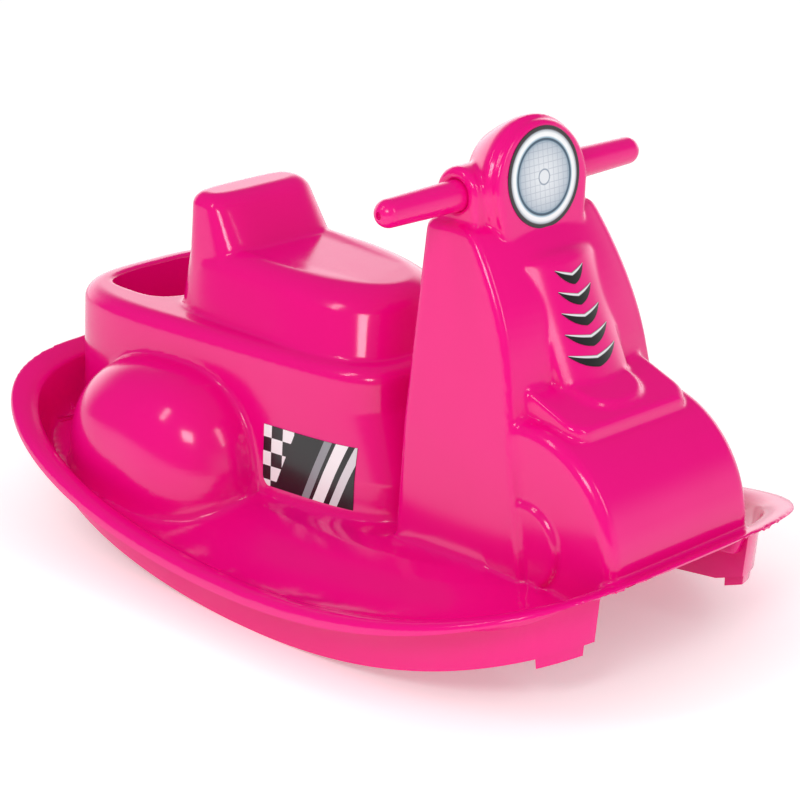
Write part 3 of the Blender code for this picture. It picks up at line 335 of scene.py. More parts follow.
def make_bulge(side, steps, count):
    """One rear wheel cover: half a rounded box, its flat side inside the body."""
    rings = []
    arch, face, plan = BULGE_ARCH_POWER, BULGE_FACE_POWER, BULGE_PLAN_POWER
    levels = [(-GROUND_SINK, 1.0, 1.0)]
    for i in range(steps + 1):
        angle = math.pi / 2 * i / steps * BULGE_CROWN_SHARE
        rise = math.sin(angle) ** (2 / arch) if i else 0.0
        levels.append((BULGE_BASE_Z + rise * (BULGE_TOP_Z - BULGE_BASE_Z),
                       math.cos(angle) ** (2 / arch), (1 - rise ** face) ** (1 / face)))
    for z, shrink, narrow in levels:
        ring = []
        for angle in spread(-math.pi / 2, math.pi / 2, count):
            across = max(math.cos(angle), 0.0) ** (2 / plan)
            along = math.copysign(abs(math.sin(angle)) ** (2 / plan), angle)
            ring.append((side * (BODY_FRONT_HALF - BULGE_SINK + across * BULGE_REACH * narrow),
                         BULGE_CENTRE_Y + along * BULGE_HALF_LENGTH * shrink, z))
        for end in (1, -1):
            ring.append((side * BULGE_SEAM_X, BULGE_CENTRE_Y + end * BULGE_HALF_LENGTH * shrink, z))
        rings.append(ring if side > 0 else ring[::-1])
    return loft("bulge", rings)


BIN_FRONT_Y = 0.231
BIN_REAR_Y = 0.340
BIN_HALF = 0.079
BIN_FLOOR_Z = 0.1475
BIN_EDGE_ROUND = 0.003
BIN_FLOOR_ROUND = 0.010
BIN_POWER = 3.4
BIN_DRAFT = 0.05


def make_bin():
    """The space inside the rear bin, with a rounded floor edge and a rounded mouth."""
    levels = []
    for angle in spread(0.0, math.pi / 2, 6):
        z = BIN_FLOOR_Z + BIN_FLOOR_ROUND * (1 - math.cos(angle))
        levels.append((BIN_FLOOR_ROUND * (1 - math.sin(angle)) + BIN_DRAFT * (BODY_TOP_Z - z), z))
    for angle in spread(0.0, math.pi / 2, 5):
        levels.append((-BIN_EDGE_ROUND * (1 - math.cos(angle)),
                       BODY_TOP_Z - BIN_EDGE_ROUND * (1 - math.sin(angle))))
    levels.append((-BIN_EDGE_ROUND, BODY_TOP_Z + 0.01))
    return loft("bin", [flat_ring(rounded_oval(
        BIN_FRONT_Y + inset, BIN_REAR_Y - inset, BIN_HALF - inset, BIN_HALF - inset,
        BIN_POWER, BIN_POWER, 96), z) for inset, z in levels])


COLUMN_FOOT_HALF = 0.104
COLUMN_KNEE_HALF = 0.095
COLUMN_KNEE_Z = 0.200
COLUMN_NECK_HALF = 0.0765
COLUMN_NECK_Z = 0.3875
COLUMN_FRONT_SPREAD = 0.0025
COLUMN_FRONT_BOW = 0.009
COLUMN_FRONT_ROUND = 0.008
COLUMN_REAR_ROUND = 0.009
COLUMN_NECK_ROUND = 0.009
COLUMN_CORNER_STEPS = 8
COLUMN_REAR_FOOT_Y = -0.109
COLUMN_REAR_NECK_Y = -0.131
APRON_SHIN_Y = -0.277
APRON_SHIN_Z = 0.1075
APRON_KNEE_Y = -0.2495
APRON_KNEE_Z = 0.2655
APRON_NECK_Y = -0.1894
APRON_BELLY = 0.009
PANEL_HALF = 0.043
PANEL_TOP_Z = 0.360
PANEL_TOP_Y = -0.2274
PANEL_FOOT_Z = 0.235
PANEL_SLOPE = 0.470
PANEL_BOW = 0.010
PANEL_ROOT_Y = -0.190
PANEL_EDGE_ROUND = 0.010


def rounded_quad(front, rear, front_half, rear_half, front_round, rear_round, steps):
    """A four-sided outline, the same left and right, with its corners rounded."""
    corners = [(rear_half, rear, rear_round), (-rear_half, rear, rear_round),
               (-front_half, front, front_round), (front_half, front, front_round)]
    points = []
    for i, (x, y, radius) in enumerate(corners):
        here = Vector((x, y))
        before = (Vector(corners[i - 1][:2]) - here).normalized()
        after = (Vector(corners[(i + 1) % 4][:2]) - here).normalized()
        half_angle = before.angle(after) / 2
        centre = here + (before + after).normalized() * radius / math.sin(half_angle)
        start = here + before * radius / math.tan(half_angle) - centre
        end = here + after * radius / math.tan(half_angle) - centre
        sweep = start.angle_signed(end)
        for share in spread(0.0, 1.0, steps + 1):
            arm = start.copy()
            arm.rotate(Matrix.Rotation(-sweep * share, 2))
            points.append(tuple(centre + arm))
    return points


def column_half(z):
    if z < COLUMN_KNEE_Z:
        return COLUMN_FOOT_HALF + (COLUMN_KNEE_HALF - COLUMN_FOOT_HALF) * z / COLUMN_KNEE_Z
    share = (z - COLUMN_KNEE_Z) / (COLUMN_NECK_Z - COLUMN_KNEE_Z)
    return COLUMN_KNEE_HALF + (COLUMN_NECK_HALF - COLUMN_KNEE_HALF) * share


def column_rear(z):
    return COLUMN_REAR_FOOT_Y + (COLUMN_REAR_NECK_Y - COLUMN_REAR_FOOT_Y) * max(z, 0) / COLUMN_NECK_Z


def apron_front(z):
    """Front edge of the column: nearly upright shin, then a bellied slope to the neck."""
    if z < APRON_KNEE_Z:
        share = (z - APRON_SHIN_Z) / (APRON_KNEE_Z - APRON_SHIN_Z)
        return APRON_SHIN_Y + (APRON_KNEE_Y - APRON_SHIN_Y) * share
    share = (z - APRON_KNEE_Z) / (COLUMN_NECK_Z - APRON_KNEE_Z)
    line = APRON_KNEE_Y + (APRON_NECK_Y - APRON_KNEE_Y) * share
    return line - APRON_BELLY * 4 * share * (1 - share)


def make_column():
    levels = [(0.0, -GROUND_SINK), (0.0, COLUMN_KNEE_Z), (0.0, APRON_KNEE_Z)]
    levels += [(0.0, APRON_KNEE_Z + (COLUMN_NECK_Z - APRON_KNEE_Z) * share)
               for share in spread(0.0, 0.9, 14)[1:]]
    levels += rounded_top(COLUMN_NECK_Z, COLUMN_NECK_ROUND, 6)[1:]
    bow_start = 3 * (COLUMN_CORNER_STEPS + 1)
    rings = []
    for inset, z in levels:
        half = column_half(z) - inset
        outline = rounded_quad(apron_front(z) + inset, column_rear(z) - inset,
                               half + COLUMN_FRONT_SPREAD, half, COLUMN_FRONT_ROUND,
                               COLUMN_REAR_ROUND, COLUMN_CORNER_STEPS)
        x, y = outline[bow_start - 1]
        bow = [(x * share, y - COLUMN_FRONT_BOW * (1 - share ** 2))
               for share in spread(1.0, -1.0, 26)[1:-1]]
        rings.append(flat_ring(outline[:bow_start] + bow + outline[bow_start:], z))
    return loft("column", rings)


def panel_front(x, z):
    return PANEL_TOP_Y - PANEL_SLOPE * (PANEL_TOP_Z - z) + PANEL_BOW * (x / PANEL_HALF) ** 2


def make_panel():
    rings = []
    for inset, z in [(0.0, PANEL_FOOT_Z)] + rounded_top(PANEL_TOP_Z, PANEL_EDGE_ROUND, 7):
        half = PANEL_HALF - inset
        ring = [(x, panel_front(x, z) + inset, z) for x in spread(-half, half, 33)]
        rings.append(ring + [(half, PANEL_ROOT_Y, z), (-half, PANEL_ROOT_Y, z)])
    return loft("panel", rings)


HEAD_HALF = 0.061
HEAD_ARCH_Z = 0.413
HEAD_FOOT_Z = 0.362
HEAD_FOOT_HALF = 0.053
HEAD_LEAN = 0.10
HEAD_SECTIONS = [(-0.202, 0.0085), (-0.2014, 0.0064), (-0.2008, 0.0050), (-0.1998, 0.0040),
                 (-0.1985, 0.0035), (-0.1930, 0.0030), (-0.1918, 0.0004), (-0.1890, 0.0),
                 (-0.1830, 0.0010), (-0.1780, 0.0030), (-0.1720, 0.0058), (-0.1650, 0.0095),
                 (-0.1580, 0.0136), (-0.1500, 0.0185), (-0.1450, 0.0228), (-0.1400, 0.0280),
                 (-0.1360, 0.0335), (-0.1330, 0.0400)]
HANDLE_Y = -0.163
HANDLE_Z = 0.4105
COLLAR_RADIUS = 0.0250
COLLAR_FACE_X = 0.071
COLLAR_EDGE_ROUND = 0.006
COLLAR_FOOT_Z = 0.3725
COLLAR_ROOT_X = 0.020
SOCKET_MOUTH_RADIUS = 0.0152
SOCKET_MOUTH_DEPTH = 0.004
SOCKET_BORE_RADIUS = 0.0123
BORE_INNER_X = 0.021
BORE_OUTER_X = 0.091


def head_lean(z):
    return HEAD_LEAN * (z - HEAD_ARCH_Z)


def make_head():
    rings = []
    for y, inset in HEAD_SECTIONS:
        radius, foot_half = HEAD_HALF - inset, HEAD_FOOT_HALF - inset
        outline = [(radius * math.cos(a), HEAD_ARCH_Z + radius * math.sin(a))
                   for a in spread(0.0, math.pi, 72)]
        outline += [(-foot_half, HEAD_FOOT_Z + inset), (foot_half, HEAD_FOOT_Z + inset)]
        rings.append([(x, y + head_lean(z), z) for x, z in outline])
    return loft("head", rings)


def make_collar(side):
    """Boss that holds one handle, with the upright pad below it."""
    rings = []
    levels = [(0.0, COLLAR_ROOT_X)] + rounded_top(COLLAR_FACE_X, COLLAR_EDGE_ROUND, 7)
    for inset, x in levels:
        radius = COLLAR_RADIUS - inset
        ring = [(side * x, HANDLE_Y + radius * math.cos(a), HANDLE_Z + radius * math.sin(a))
                for a in spread(0.0, math.pi, 48)]
        for y in (HANDLE_Y - radius, HANDLE_Y + radius):
            ring.append((side * x, y, COLLAR_FOOT_Z))
        rings.append(ring)
    return loft("collar", rings)


def handle_place(side):
    return Matrix.Translation((0, HANDLE_Y, HANDLE_Z)) @ Matrix.Rotation(side * math.pi / 2, 4, "Y")


def make_bore(side):
    """The stepped round hole that a handle is pushed into."""
    step_x = COLLAR_FACE_X - SOCKET_MOUTH_DEPTH
    line = [(BORE_INNER_X, 0.0), (BORE_INNER_X, SOCKET_BORE_RADIUS), (step_x, SOCKET_BORE_RADIUS),
            (step_x, SOCKET_MOUTH_RADIUS), (BORE_OUTER_X, SOCKET_MOUTH_RADIUS), (BORE_OUTER_X, 0.0)]
    return turned("bore", line, 64, handle_place(side))


FENDER_CENTRE_Y = -0.270
FENDER_CENTRE_Z = 0.1225
FENDER_REACH = 0.1035
FENDER_HEIGHT = 0.109
FENDER_HALF = 0.0925
FENDER_EDGE_ROUND = 0.012
FENDER_ROOT_Y = -0.200
DECK_HALF = 0.0745
DECK_FRONT_Y = -0.316
DECK_ROOT_Y = -0.240
DECK_FRONT_Z = 0.2325
DECK_DEPTH = 0.040
DECK_SLOPE = 0.38
DECK_EDGE_ROUND = 0.005
DECK_CORNER_ROUND = 0.018
HUMP_Y = -0.276
HUMP_DEPTH = 0.029
HUMP_HALF = 0.038
HUMP_RISE = 0.0055
HUMP_ROOT = 0.012
HUMP_POWER = 2.3
HUB_Y = -0.273
HUB_RADIUS = 0.040
HUB_PROUD = 0.0045
HUB_ROOT = 0.020
HUB_EDGE_ROUND = 0.005


def make_fender():
    edge = rounded_top(FENDER_HALF, FENDER_EDGE_ROUND, 7)
    rings = []
    for inset, x in [(inset, -x) for inset, x in reversed(edge)] + edge:
        reach, height = FENDER_REACH - inset, FENDER_HEIGHT - inset
        ring = [(x, FENDER_CENTRE_Y - reach * math.cos(a), FENDER_CENTRE_Z + height * math.sin(a))
                for a in spread(0.0, math.pi / 2, 48)]
        ring += [(x, FENDER_ROOT_Y, FENDER_CENTRE_Z + height), (x, FENDER_ROOT_Y, -GROUND_SINK),
                 (x, FENDER_CENTRE_Y - reach, -GROUND_SINK)]
        rings.append(ring)
    return loft("fender", rings)


def deck_height(y):
    return DECK_FRONT_Z + DECK_SLOPE * (y - DECK_FRONT_Y)


def make_deck():
    rings = []
    for inset, depth in [(0.0, -DECK_DEPTH)] + rounded_top(0.0, DECK_EDGE_ROUND, 6):
        outline = rounded_quad(DECK_FRONT_Y + inset, DECK_ROOT_Y, DECK_HALF - inset, DECK_HALF - inset,
                               DECK_CORNER_ROUND, DECK_CORNER_ROUND, 10)
        rings.append([(x, y, deck_height(y) + depth) for x, y in outline])
    return loft("deck", rings)


def make_hump():
    rings = []
    for inset, rise in [(0.0, -HUMP_ROOT)] + rounded_top(HUMP_RISE, HUMP_RISE, 6):
        outline = rounded_oval(HUMP_Y - HUMP_DEPTH + inset, HUMP_Y + HUMP_DEPTH - inset,
                               HUMP_HALF - inset, HUMP_HALF - inset, HUMP_POWER, HUMP_POWER, 56)
        rings.append([(x, y, deck_height(y) + rise) for x, y in outline])
    return loft("hump", rings)


def make_hub(side):
    rings = []
    edge = rounded_top(FENDER_HALF + HUB_PROUD, HUB_EDGE_ROUND, 6)
    for inset, x in [(0.0, FENDER_HALF - HUB_ROOT)] + edge:
        radius = HUB_RADIUS - inset
        rings.append([(side * x, HUB_Y + radius * math.cos(a), FENDER_CENTRE_Z + radius * math.sin(a))
                      for a in spread(0.0, 2 * math.pi, 65)[:-1]])
    return loft("hub", rings)


def filled_shape():
    """Every swelling of the moulding as one filled, finely meshed solid."""
    hole = make_bin()
    body = combine(make_body(160), hole, "DIFFERENCE", keep=True)
    solids = [body, make_tray(0.0, 200), make_seat(120), make_backrest(100), make_column(),
              make_panel(), make_fender(), make_deck(), make_hump()]
    head = make_head()
    for side in (1, -1):
        solids.append(combine(make_bulge(side, 28, 61), hole, "DIFFERENCE", keep=True))
        bore = make_bore(side)
        solids.append(combine(make_collar(side), bore, "DIFFERENCE", keep=True))
        combine(head, bore, "DIFFERENCE")
        solids.append(make_hub(side))
    bpy.data.objects.remove(hole)
    shape = joined("skin", solids + [head])
    grown = shape.modifiers.new("grown_together", "REMESH")
    grown.mode = "VOXEL"
    grown.voxel_size = VOXEL
    grown.adaptivity = 0.0
    return with_modifiers(shape)


def point_normals(points, quads):
    a, b, c, d = (points[quads[:, k]] for k in range(4))
    across = np.cross(c - a, d - b)
    total = np.stack([np.bincount(quads.ravel(), np.repeat(across[:, k], 4), len(points))
                      for k in range(3)], axis=1)
    return total / np.maximum(np.linalg.norm(total, axis=1, keepdims=True), 1e-12)


FILLET_HEIGHTS = (0.09, 0.12, 0.20, 0.36, 0.38)
FILLET_SHARES = (1.0, 0.3, 0.12, 0.10, 0.05)
FENDER_FILLET = 0.10
CAP_SIDE_FILLET = 0.5
HUB_FILLET = 0.02
BIN_FILLET = 0.1
FENDER_ZONE_Y = -0.165
CAP_SIDE_X = 0.05
CAP_SIDE_Y = -0.27
CAP_SIDE_Z = (0.19, 0.26)
SHARP_ANGLE = math.radians(40)


def fillet_share(points):
    """How freely the inside corners fill out: most along the tray, least on the head."""
    x, y, z = np.abs(points[:, 0]), points[:, 1], points[:, 2]
    share = np.interp(z, FILLET_HEIGHTS, FILLET_SHARES)
    on_fender = (y < FENDER_ZONE_Y) & (x < FENDER_HALF + HUB_PROUD + 0.003)
    share[on_fender] = np.minimum(share[on_fender], FENDER_FILLET)
    beside_cap = (x > CAP_SIDE_X) & (y > CAP_SIDE_Y) & (z > CAP_SIDE_Z[0]) & (z < CAP_SIDE_Z[1])
    share[on_fender & beside_cap] = CAP_SIDE_FILLET
    from_hub = np.hypot(y - HUB_Y, z - FENDER_CENTRE_Z) - HUB_RADIUS
    share[(x > FENDER_HALF - 0.012) & (from_hub < 0.006)] = HUB_FILLET
    inside_bin = (x < BIN_HALF + 0.004) & (y > BIN_FRONT_Y - 0.004) & (y < BIN_REAR_Y + 0.004)
    share[inside_bin & (z < BODY_TOP_Z + 0.001)] = BIN_FILLET
    return share


def fill_inside_corners(mesh, rounds):
    """Smooth the whole a little, then push only the hollow places outwards, round by round.

    Each smoothing pull is followed by a slightly larger push, so that nothing shrinks."""
    points = np.empty(len(mesh.vertices) * 3)
    mesh.vertices.foreach_get("co", points)
    points = points.reshape(-1, 3)
    quads = np.empty(len(mesh.loops), dtype=np.int64)
    mesh.loops.foreach_get("vertex_index", quads)
    quads = quads.reshape(-1, 4)
    edges = np.empty(len(mesh.edges) * 2, dtype=np.int64)
    mesh.edges.foreach_get("vertices", edges)
    a, b = edges.reshape(-1, 2).T
    degree = np.maximum(np.bincount(edges, minlength=len(points)), 1)

    def pull(now):
        total = np.stack([np.bincount(a, now[b, k], len(now)) + np.bincount(b, now[a, k], len(now))
                          for k in range(3)], axis=1)
        return total / degree[:, None] - now

    for _ in range(3):
        points += 0.5 * pull(points)
        points -= 0.53 * pull(points)
    share = fillet_share(points)
    for step in range(rounds):
        if step % 8 == 0:
            normals = point_normals(points, quads)
        move = pull(points)
        outwards = np.maximum((move * normals).sum(axis=1), 0.0) * share
        points += 0.7 * outwards[:, None] * normals
    for _ in range(4):
        points += 0.4 * pull(points)
        points -= 0.42 * pull(points)
    return points, quads


def open_skin(points, quads):
    """The part of the skin above the rim's lower edge, whose cut edge is drawn level."""
    line = np.array([arc_height(y, RUNNER_DEPTH) for y in points[:, 1]])
    reach = [TRAY_WIDTH / 2 - RIM_CREST_INSET, TRAY_LENGTH / 2 - RIM_CREST_INSET]
    outside = (np.abs(points[:, :2] / reach) ** TRAY_SQUARENESS).sum(axis=1) > 1.0
    outside |= points[:, 2] < GROUND_SINK / 2
    above = (points[:, 2] > line + VOXEL * 0.2) | ~outside
    kept = quads[above[quads].any(axis=1)]
    points[:, 2] = np.where(above, points[:, 2], line)
    used, renumbered = np.unique(kept, return_inverse=True)
    return points[used], renumbered.reshape(-1, 4)


shape = filled_shape()
skin_points, skin_quads = open_skin(*fill_inside_corners(shape.data, FILLET_ROUNDS))
bpy.data.objects.remove(shape)
skin_mesh = bpy.data.meshes.new("skin")
skin_mesh.from_pydata(skin_points.tolist(), [], skin_quads.tolist())
skin = add_object("skin", skin_mesh)
wall = skin.modifiers.new("wall", "SOLIDIFY")
wall.thickness = WALL
wall.offset = -1.0
with_modifiers(skin)

# Moulded shell, runners
# Two hollow rocker skirts hang from the tray in the same moulding: each ends in a closed
# box with a stub foot under it, and has thin gussets behind its outer wall.
RUNNER_END_INSET = 0.020
RUNNER_SIDE_INSET = 0.036
RUNNER_SQUARENESS = 3.8
RUNNER_END_LEAN = 0.12
RUNNER_LEAN_Z = 0.095
RUNNER_INNER_X = 0.099
RUNNER_BOX_LENGTH = 0.080
RUNNER_BOX_LIFT = 0.010
GUSSET_COUNT = 5
GUSSET_DEPTH = 0.026
GUSSET_LIFT = 0.006
STOP_HEIGHT = 0.010
STOP_LENGTH = 0.030
STOP_INSET = 0.002
STOP_INNER_INSET = 0.008
BOX_FOOT_DROP = 0.001
RUNNER_EDGE_ROUND = 0.0006
SKIN_REACH = 0.009
FAR = TRAY_WIDTH


def box(name, low, high):
    low, high = [min(p) for p in zip(low, high)], [max(p) for p in zip(low, high)]
    corners = [(low[0], low[1]), (high[0], low[1]), (high[0], high[1]), (low[0], high[1])]
    return loft(name, [flat_ring(corners, low[2]), flat_ring(corners, high[2])])


def below_arc(lift):
    """Everything under one rocker curve, as a bar with a curved top."""
    step = RUNNER_FLAT / 4
    count = round(TRAY_LENGTH / step / 2) + 4
    places = [ROCK_LOW_Y + step * i for i in range(-count, count)]
    profile = [(y, arc_height(y, lift)) for y in places]
    profile += [(places[-1], -FAR), (places[0], -FAR)]
    return loft("below_arc", [[(x, y, z) for y, z in profile] for x in (-FAR, FAR)])


def runner_block(side, inset, inner_x):
    """One runner's plan drawn upright, its ends leaning inwards to the foot."""
    half_length = TRAY_LENGTH / 2 - RUNNER_END_INSET - inset
    half_width = TRAY_WIDTH / 2 - RUNNER_SIDE_INSET - inset
    power = RUNNER_SQUARENESS
    outline = rounded_oval(-half_length, half_length, half_width, half_width, power, power, 176)
    end_y = half_length * (1 - (inner_x / half_width) ** power) ** (1 / power)
    bend = [(x, y) for x, y in outline if x > inner_x + 0.0005]
    plan = [(inner_x, -end_y)] + bend + [(inner_x, end_y)]
    rings = []
    for z in (-GROUND_SINK - WALL, TRAY_WIDTH / 2):
        lean = 1 + RUNNER_END_LEAN * (z - RUNNER_LEAN_Z) / half_length
        rings.append([(side * x, y * lean, z) for x, y in plan])
    return loft("runner", rings)


def runner_end_y():
    half_width = TRAY_WIDTH / 2 - RUNNER_SIDE_INSET
    share = 1 - (RUNNER_INNER_X / half_width) ** RUNNER_SQUARENESS
    return (TRAY_LENGTH / 2 - RUNNER_END_INSET) * share ** (1 / RUNNER_SQUARENESS)


def runner_outer_x(y):
    half_length = TRAY_LENGTH / 2 - RUNNER_END_INSET
    half_width = TRAY_WIDTH / 2 - RUNNER_SIDE_INSET
    return half_width * (1 - abs(y / half_length) ** RUNNER_SQUARENESS) ** (1 / RUNNER_SQUARENESS)


def make_runner(side, under_tray):
    """One skirt under the tray, hollowed to its wall, with its end boxes and gussets left in."""
    box_y = runner_end_y() - RUNNER_BOX_LENGTH
    runner = combine(runner_block(side, 0.0, RUNNER_INNER_X), below_arc(0.0), "DIFFERENCE")
    combine(runner, under_tray, "INTERSECT", keep=True)
    pocket = runner_block(side, WALL, RUNNER_INNER_X + WALL)
    for end in (-1, 1):
        combine(pocket, box("box_wall", (-FAR, end * box_y - WALL / 2, -FAR),
                            (FAR, end * box_y + WALL / 2, FAR)), "DIFFERENCE")
    for y in spread(-box_y, box_y, GUSSET_COUNT + 2)[1:-1]:
        outer_x = runner_outer_x(y)
        combine(pocket, box("gusset", (side * outer_x, y - WALL / 2, arc_height(y, GUSSET_LIFT)),
                            (side * (outer_x - GUSSET_DEPTH), y + WALL / 2, FAR)), "DIFFERENCE")
    combine(runner, pocket, "DIFFERENCE")
    combine(runner, box("open_side", (side * (RUNNER_INNER_X - WALL), WALL / 2 - box_y, -FAR),
                        (side * (RUNNER_INNER_X + WALL * 1.5), box_y - WALL / 2, FAR)), "DIFFERENCE")
    for end in (-1, 1):
        rings = []
        for y, lift in ((end * (runner_end_y() - STOP_LENGTH), -BOX_FOOT_DROP),
                        (end * (box_y - WALL), RUNNER_BOX_LIFT)):
            top = arc_height(y, lift)
            rings.append([(side * x, y, z) for x, z in (
                (RUNNER_INNER_X - WALL, -GROUND_SINK), (FAR, -GROUND_SINK), (FAR, top),
                (RUNNER_INNER_X - WALL, top))])
        foot = combine(loft("box_foot", rings),
                       runner_block(side, WALL * 1.1, RUNNER_INNER_X - WALL), "INTERSECT")
        combine(runner, foot, "DIFFERENCE")
    return runner


def end_slab(end, near_y):
    return box("end_slab", (-FAR, end * near_y, -FAR), (FAR, end * TRAY_LENGTH, FAR))


def make_stop(side, end):
    """The hollow stub foot under one end box."""
    near_y = runner_end_y() - STOP_LENGTH
    stub = combine(runner_block(side, STOP_INSET, RUNNER_INNER_X + STOP_INNER_INSET),
                   below_arc(-STOP_HEIGHT), "DIFFERENCE")
    combine(stub, below_arc(STOP_HEIGHT), "INTERSECT")
    combine(stub, end_slab(end, near_y), "INTERSECT")
    hollow = combine(runner_block(side, STOP_INSET + WALL, RUNNER_INNER_X + STOP_INNER_INSET + WALL),
                     end_slab(end, near_y + WALL), "INTERSECT")
    return combine(stub, hollow, "DIFFERENCE")


def reach_skin(runner, above):
    """Carry the runner's upper edge up into the skin, wherever its fillets have raised it."""
    for vertex in runner.data.vertices:
        found = above.ray_cast(vertex.co, Vector((0, 0, 1)), SKIN_REACH)[0]
        if found:
            vertex.co.z = found.z - WALL / 2


under_tray = make_tray(WALL / 2, 96)
upper_skin = BVHTree.FromPolygons(skin_points.tolist(), skin_quads.tolist())
runners = [make_runner(side, under_tray) for side in (1, -1)]
bpy.data.objects.remove(under_tray)
for i, side in enumerate((1, -1)):
    for end in (-1, 1):
        combine(runners[i], make_stop(side, end), "UNION")
    reach_skin(runners[i], upper_skin)
    soft = runners[i].modifiers.new("soft_edges", "BEVEL")
    soft.width = RUNNER_EDGE_ROUND
    soft.segments = 2
    soft.limit_method = "ANGLE"
    soft.angle_limit = math.radians(50)
    with_modifiers(runners[i])
shell = joined("moulded_shell", [skin] + runners)
shell.data.shade_smooth()
shell.data.set_sharp_from_angle(angle=SHARP_ANGLE)


def linear_colour(hex_colour):
    channels = [int(hex_colour[i:i + 2], 16) / 255 for i in (0, 2, 4)]
    return [c / 12.92 if c <= 0.04045 else ((c + 0.055) / 1.055) ** 2.4 for c in channels] + [1.0]


def feed(node, inputs):
    """Give inputs their values, or link them from a socket or from a node's first output."""
    for name, value in inputs.items():
        if isinstance(value, bpy.types.Node):
            value = value.outputs[0]
        if isinstance(value, bpy.types.NodeSocket):
            node.id_data.links.new(value, node.inputs[name])
        else:
            node.inputs[name].default_value = value


def add_node(owner, kind, settings=None, inputs=None, stops=()):
    """One node with its settings, its inputs' values and links, and any colour stops, 0 to 1."""
    node = owner.node_tree.nodes.new(kind)
    for name, value in (settings or {}).items():
        setattr(node, name, value)
    feed(node, inputs or {})
    for position, colour in stops[1:-1]:
        node.color_ramp.elements.new(position).color = linear_colour(colour)
    if stops:
        node.color_ramp.elements[0].color = linear_colour(stops[0][1])
        node.color_ramp.elements[-1].color = linear_colour(stops[-1][1])
    return node


def new_material(name):
    material = bpy.data.materials.new(name)
    material.use_nodes = True
    return material, material.node_tree.nodes["Principled BSDF"]


def polypropylene(name, roughness):
    """Moulded PP off a polished mould: even colour that clouds a little where the melt
    slowed, and a faint long-wave ripple from shrinking, 40 mm across, in its gloss."""
    material, shader = new_material(name)
    place = add_node(material, "ShaderNodeTexCoord").outputs["Object"]
    flow = add_node(material, "ShaderNodeTexNoise", inputs={
        "Vector": place, "Scale": 1 / FLOW_WIDTH, "Detail": 3.0})
    tint = add_node(material, "ShaderNodeMix", {"data_type": "RGBA"}, {
        0: flow.outputs["Fac"], 6: linear_colour(SHELL_PINK), 7: linear_colour(SHELL_DEEP_PINK)})
    ripple = add_node(material, "ShaderNodeTexNoise", inputs={
        "Vector": place, "Scale": 1 / RIPPLE_WIDTH, "Detail": 1.0})
    sinks = add_node(material, "ShaderNodeBump", inputs={
        "Height": ripple.outputs["Fac"], "Strength": 0.12, "Distance": 0.0008})
    gloss = add_node(material, "ShaderNodeMapRange", inputs={
        "Value": flow.outputs["Fac"], "To Min": roughness - 0.03, "To Max": roughness + 0.03})
    feed(shader, {"Base Color": tint.outputs[2], "Normal": sinks, "Roughness": gloss, "IOR": 1.49})
    return material


shell_plastic = polypropylene("moulded_polypropylene", 0.15)
shell.data.materials.append(shell_plastic)
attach(shell, "root")
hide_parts("body_shell")

# Handles
# Two hollow tapered grips of the same plastic, each pushed into its collar and held by
# a screw from below. The mould leaves a small dimple in each rounded tip.
HANDLE_TIP_X = 0.1632
HANDLE_ROOT_RADIUS = 0.0143
HANDLE_TIP_RADIUS = 0.0126
HANDLE_WALL = 0.0025
TIP_DIMPLE_RADIUS = 0.0032
TIP_DIMPLE_DEPTH = 0.003
SPIGOT_INNER_X = 0.032
SPIGOT_CLEARANCE = 0.0006
SPIGOT_CHAMFER = 0.0006
SHOULDER_GAP = 0.0003
SHOULDER_ROUND = 0.0008


def handle_line():
    """The grip's outline from its spigot over the shoulder to the tip, and back inside."""
    root_x = COLLAR_FACE_X - SOCKET_MOUTH_DEPTH + SHOULDER_GAP
    plug = SOCKET_BORE_RADIUS - SPIGOT_CLEARANCE
    straight_x = HANDLE_TIP_X - HANDLE_TIP_RADIUS
    line = [(SPIGOT_INNER_X, plug - SPIGOT_CHAMFER), (SPIGOT_INNER_X + SPIGOT_CHAMFER, plug),
            (root_x, plug), (root_x, HANDLE_ROOT_RADIUS - SHOULDER_ROUND)]
    line += [(root_x + SHOULDER_ROUND * (1 - math.cos(a)),
              HANDLE_ROOT_RADIUS - SHOULDER_ROUND * (1 - math.sin(a)))
             for a in spread(0.0, math.pi / 2, 4)[1:]]
    line += [(root_x + (straight_x - root_x) * share, HANDLE_ROOT_RADIUS + (
        HANDLE_TIP_RADIUS - HANDLE_ROOT_RADIUS) * share) for share in spread(0.05, 1.0, 12)]
    for angle in spread(0.0, math.pi / 2, 18)[1:]:
        radius = HANDLE_TIP_RADIUS * math.cos(angle)
        if radius < TIP_DIMPLE_RADIUS + 0.0004:
            break
        line.append((straight_x + HANDLE_TIP_RADIUS * math.sin(angle), radius))
    tip_x = HANDLE_TIP_X - 0.0006
    line += [(tip_x, TIP_DIMPLE_RADIUS + 0.0003), (tip_x - 0.0004, TIP_DIMPLE_RADIUS),
             (tip_x - TIP_DIMPLE_DEPTH, TIP_DIMPLE_RADIUS), (tip_x - TIP_DIMPLE_DEPTH, 0.0)]
    bore_end = straight_x - HANDLE_WALL
    line += [(bore_end, 0.0), (bore_end, HANDLE_TIP_RADIUS - HANDLE_WALL * 1.6),
             (root_x, plug - HANDLE_WALL), (SPIGOT_INNER_X, plug - HANDLE_WALL)]
    return line


grip_plastic = polypropylene("moulded_grip_polypropylene", 0.2)
for side, word in ((1, "right"), (-1, "left")):
    handle = turned(f"grip_{word}", handle_line(), 96, handle_place(side))
    handle.data.shade_smooth()
    handle.data.set_sharp_from_angle(angle=SHARP_ANGLE)
    handle.data.materials.append(grip_plastic)
    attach(handle, "root")
    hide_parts(f"handle_{word}")

# Handle screws
# Zinc-plated steel screws driven up through each collar from inside the column; only
# their CAD solids are needed, as the shell hides them.
ZINC_GRAIN = 0.002


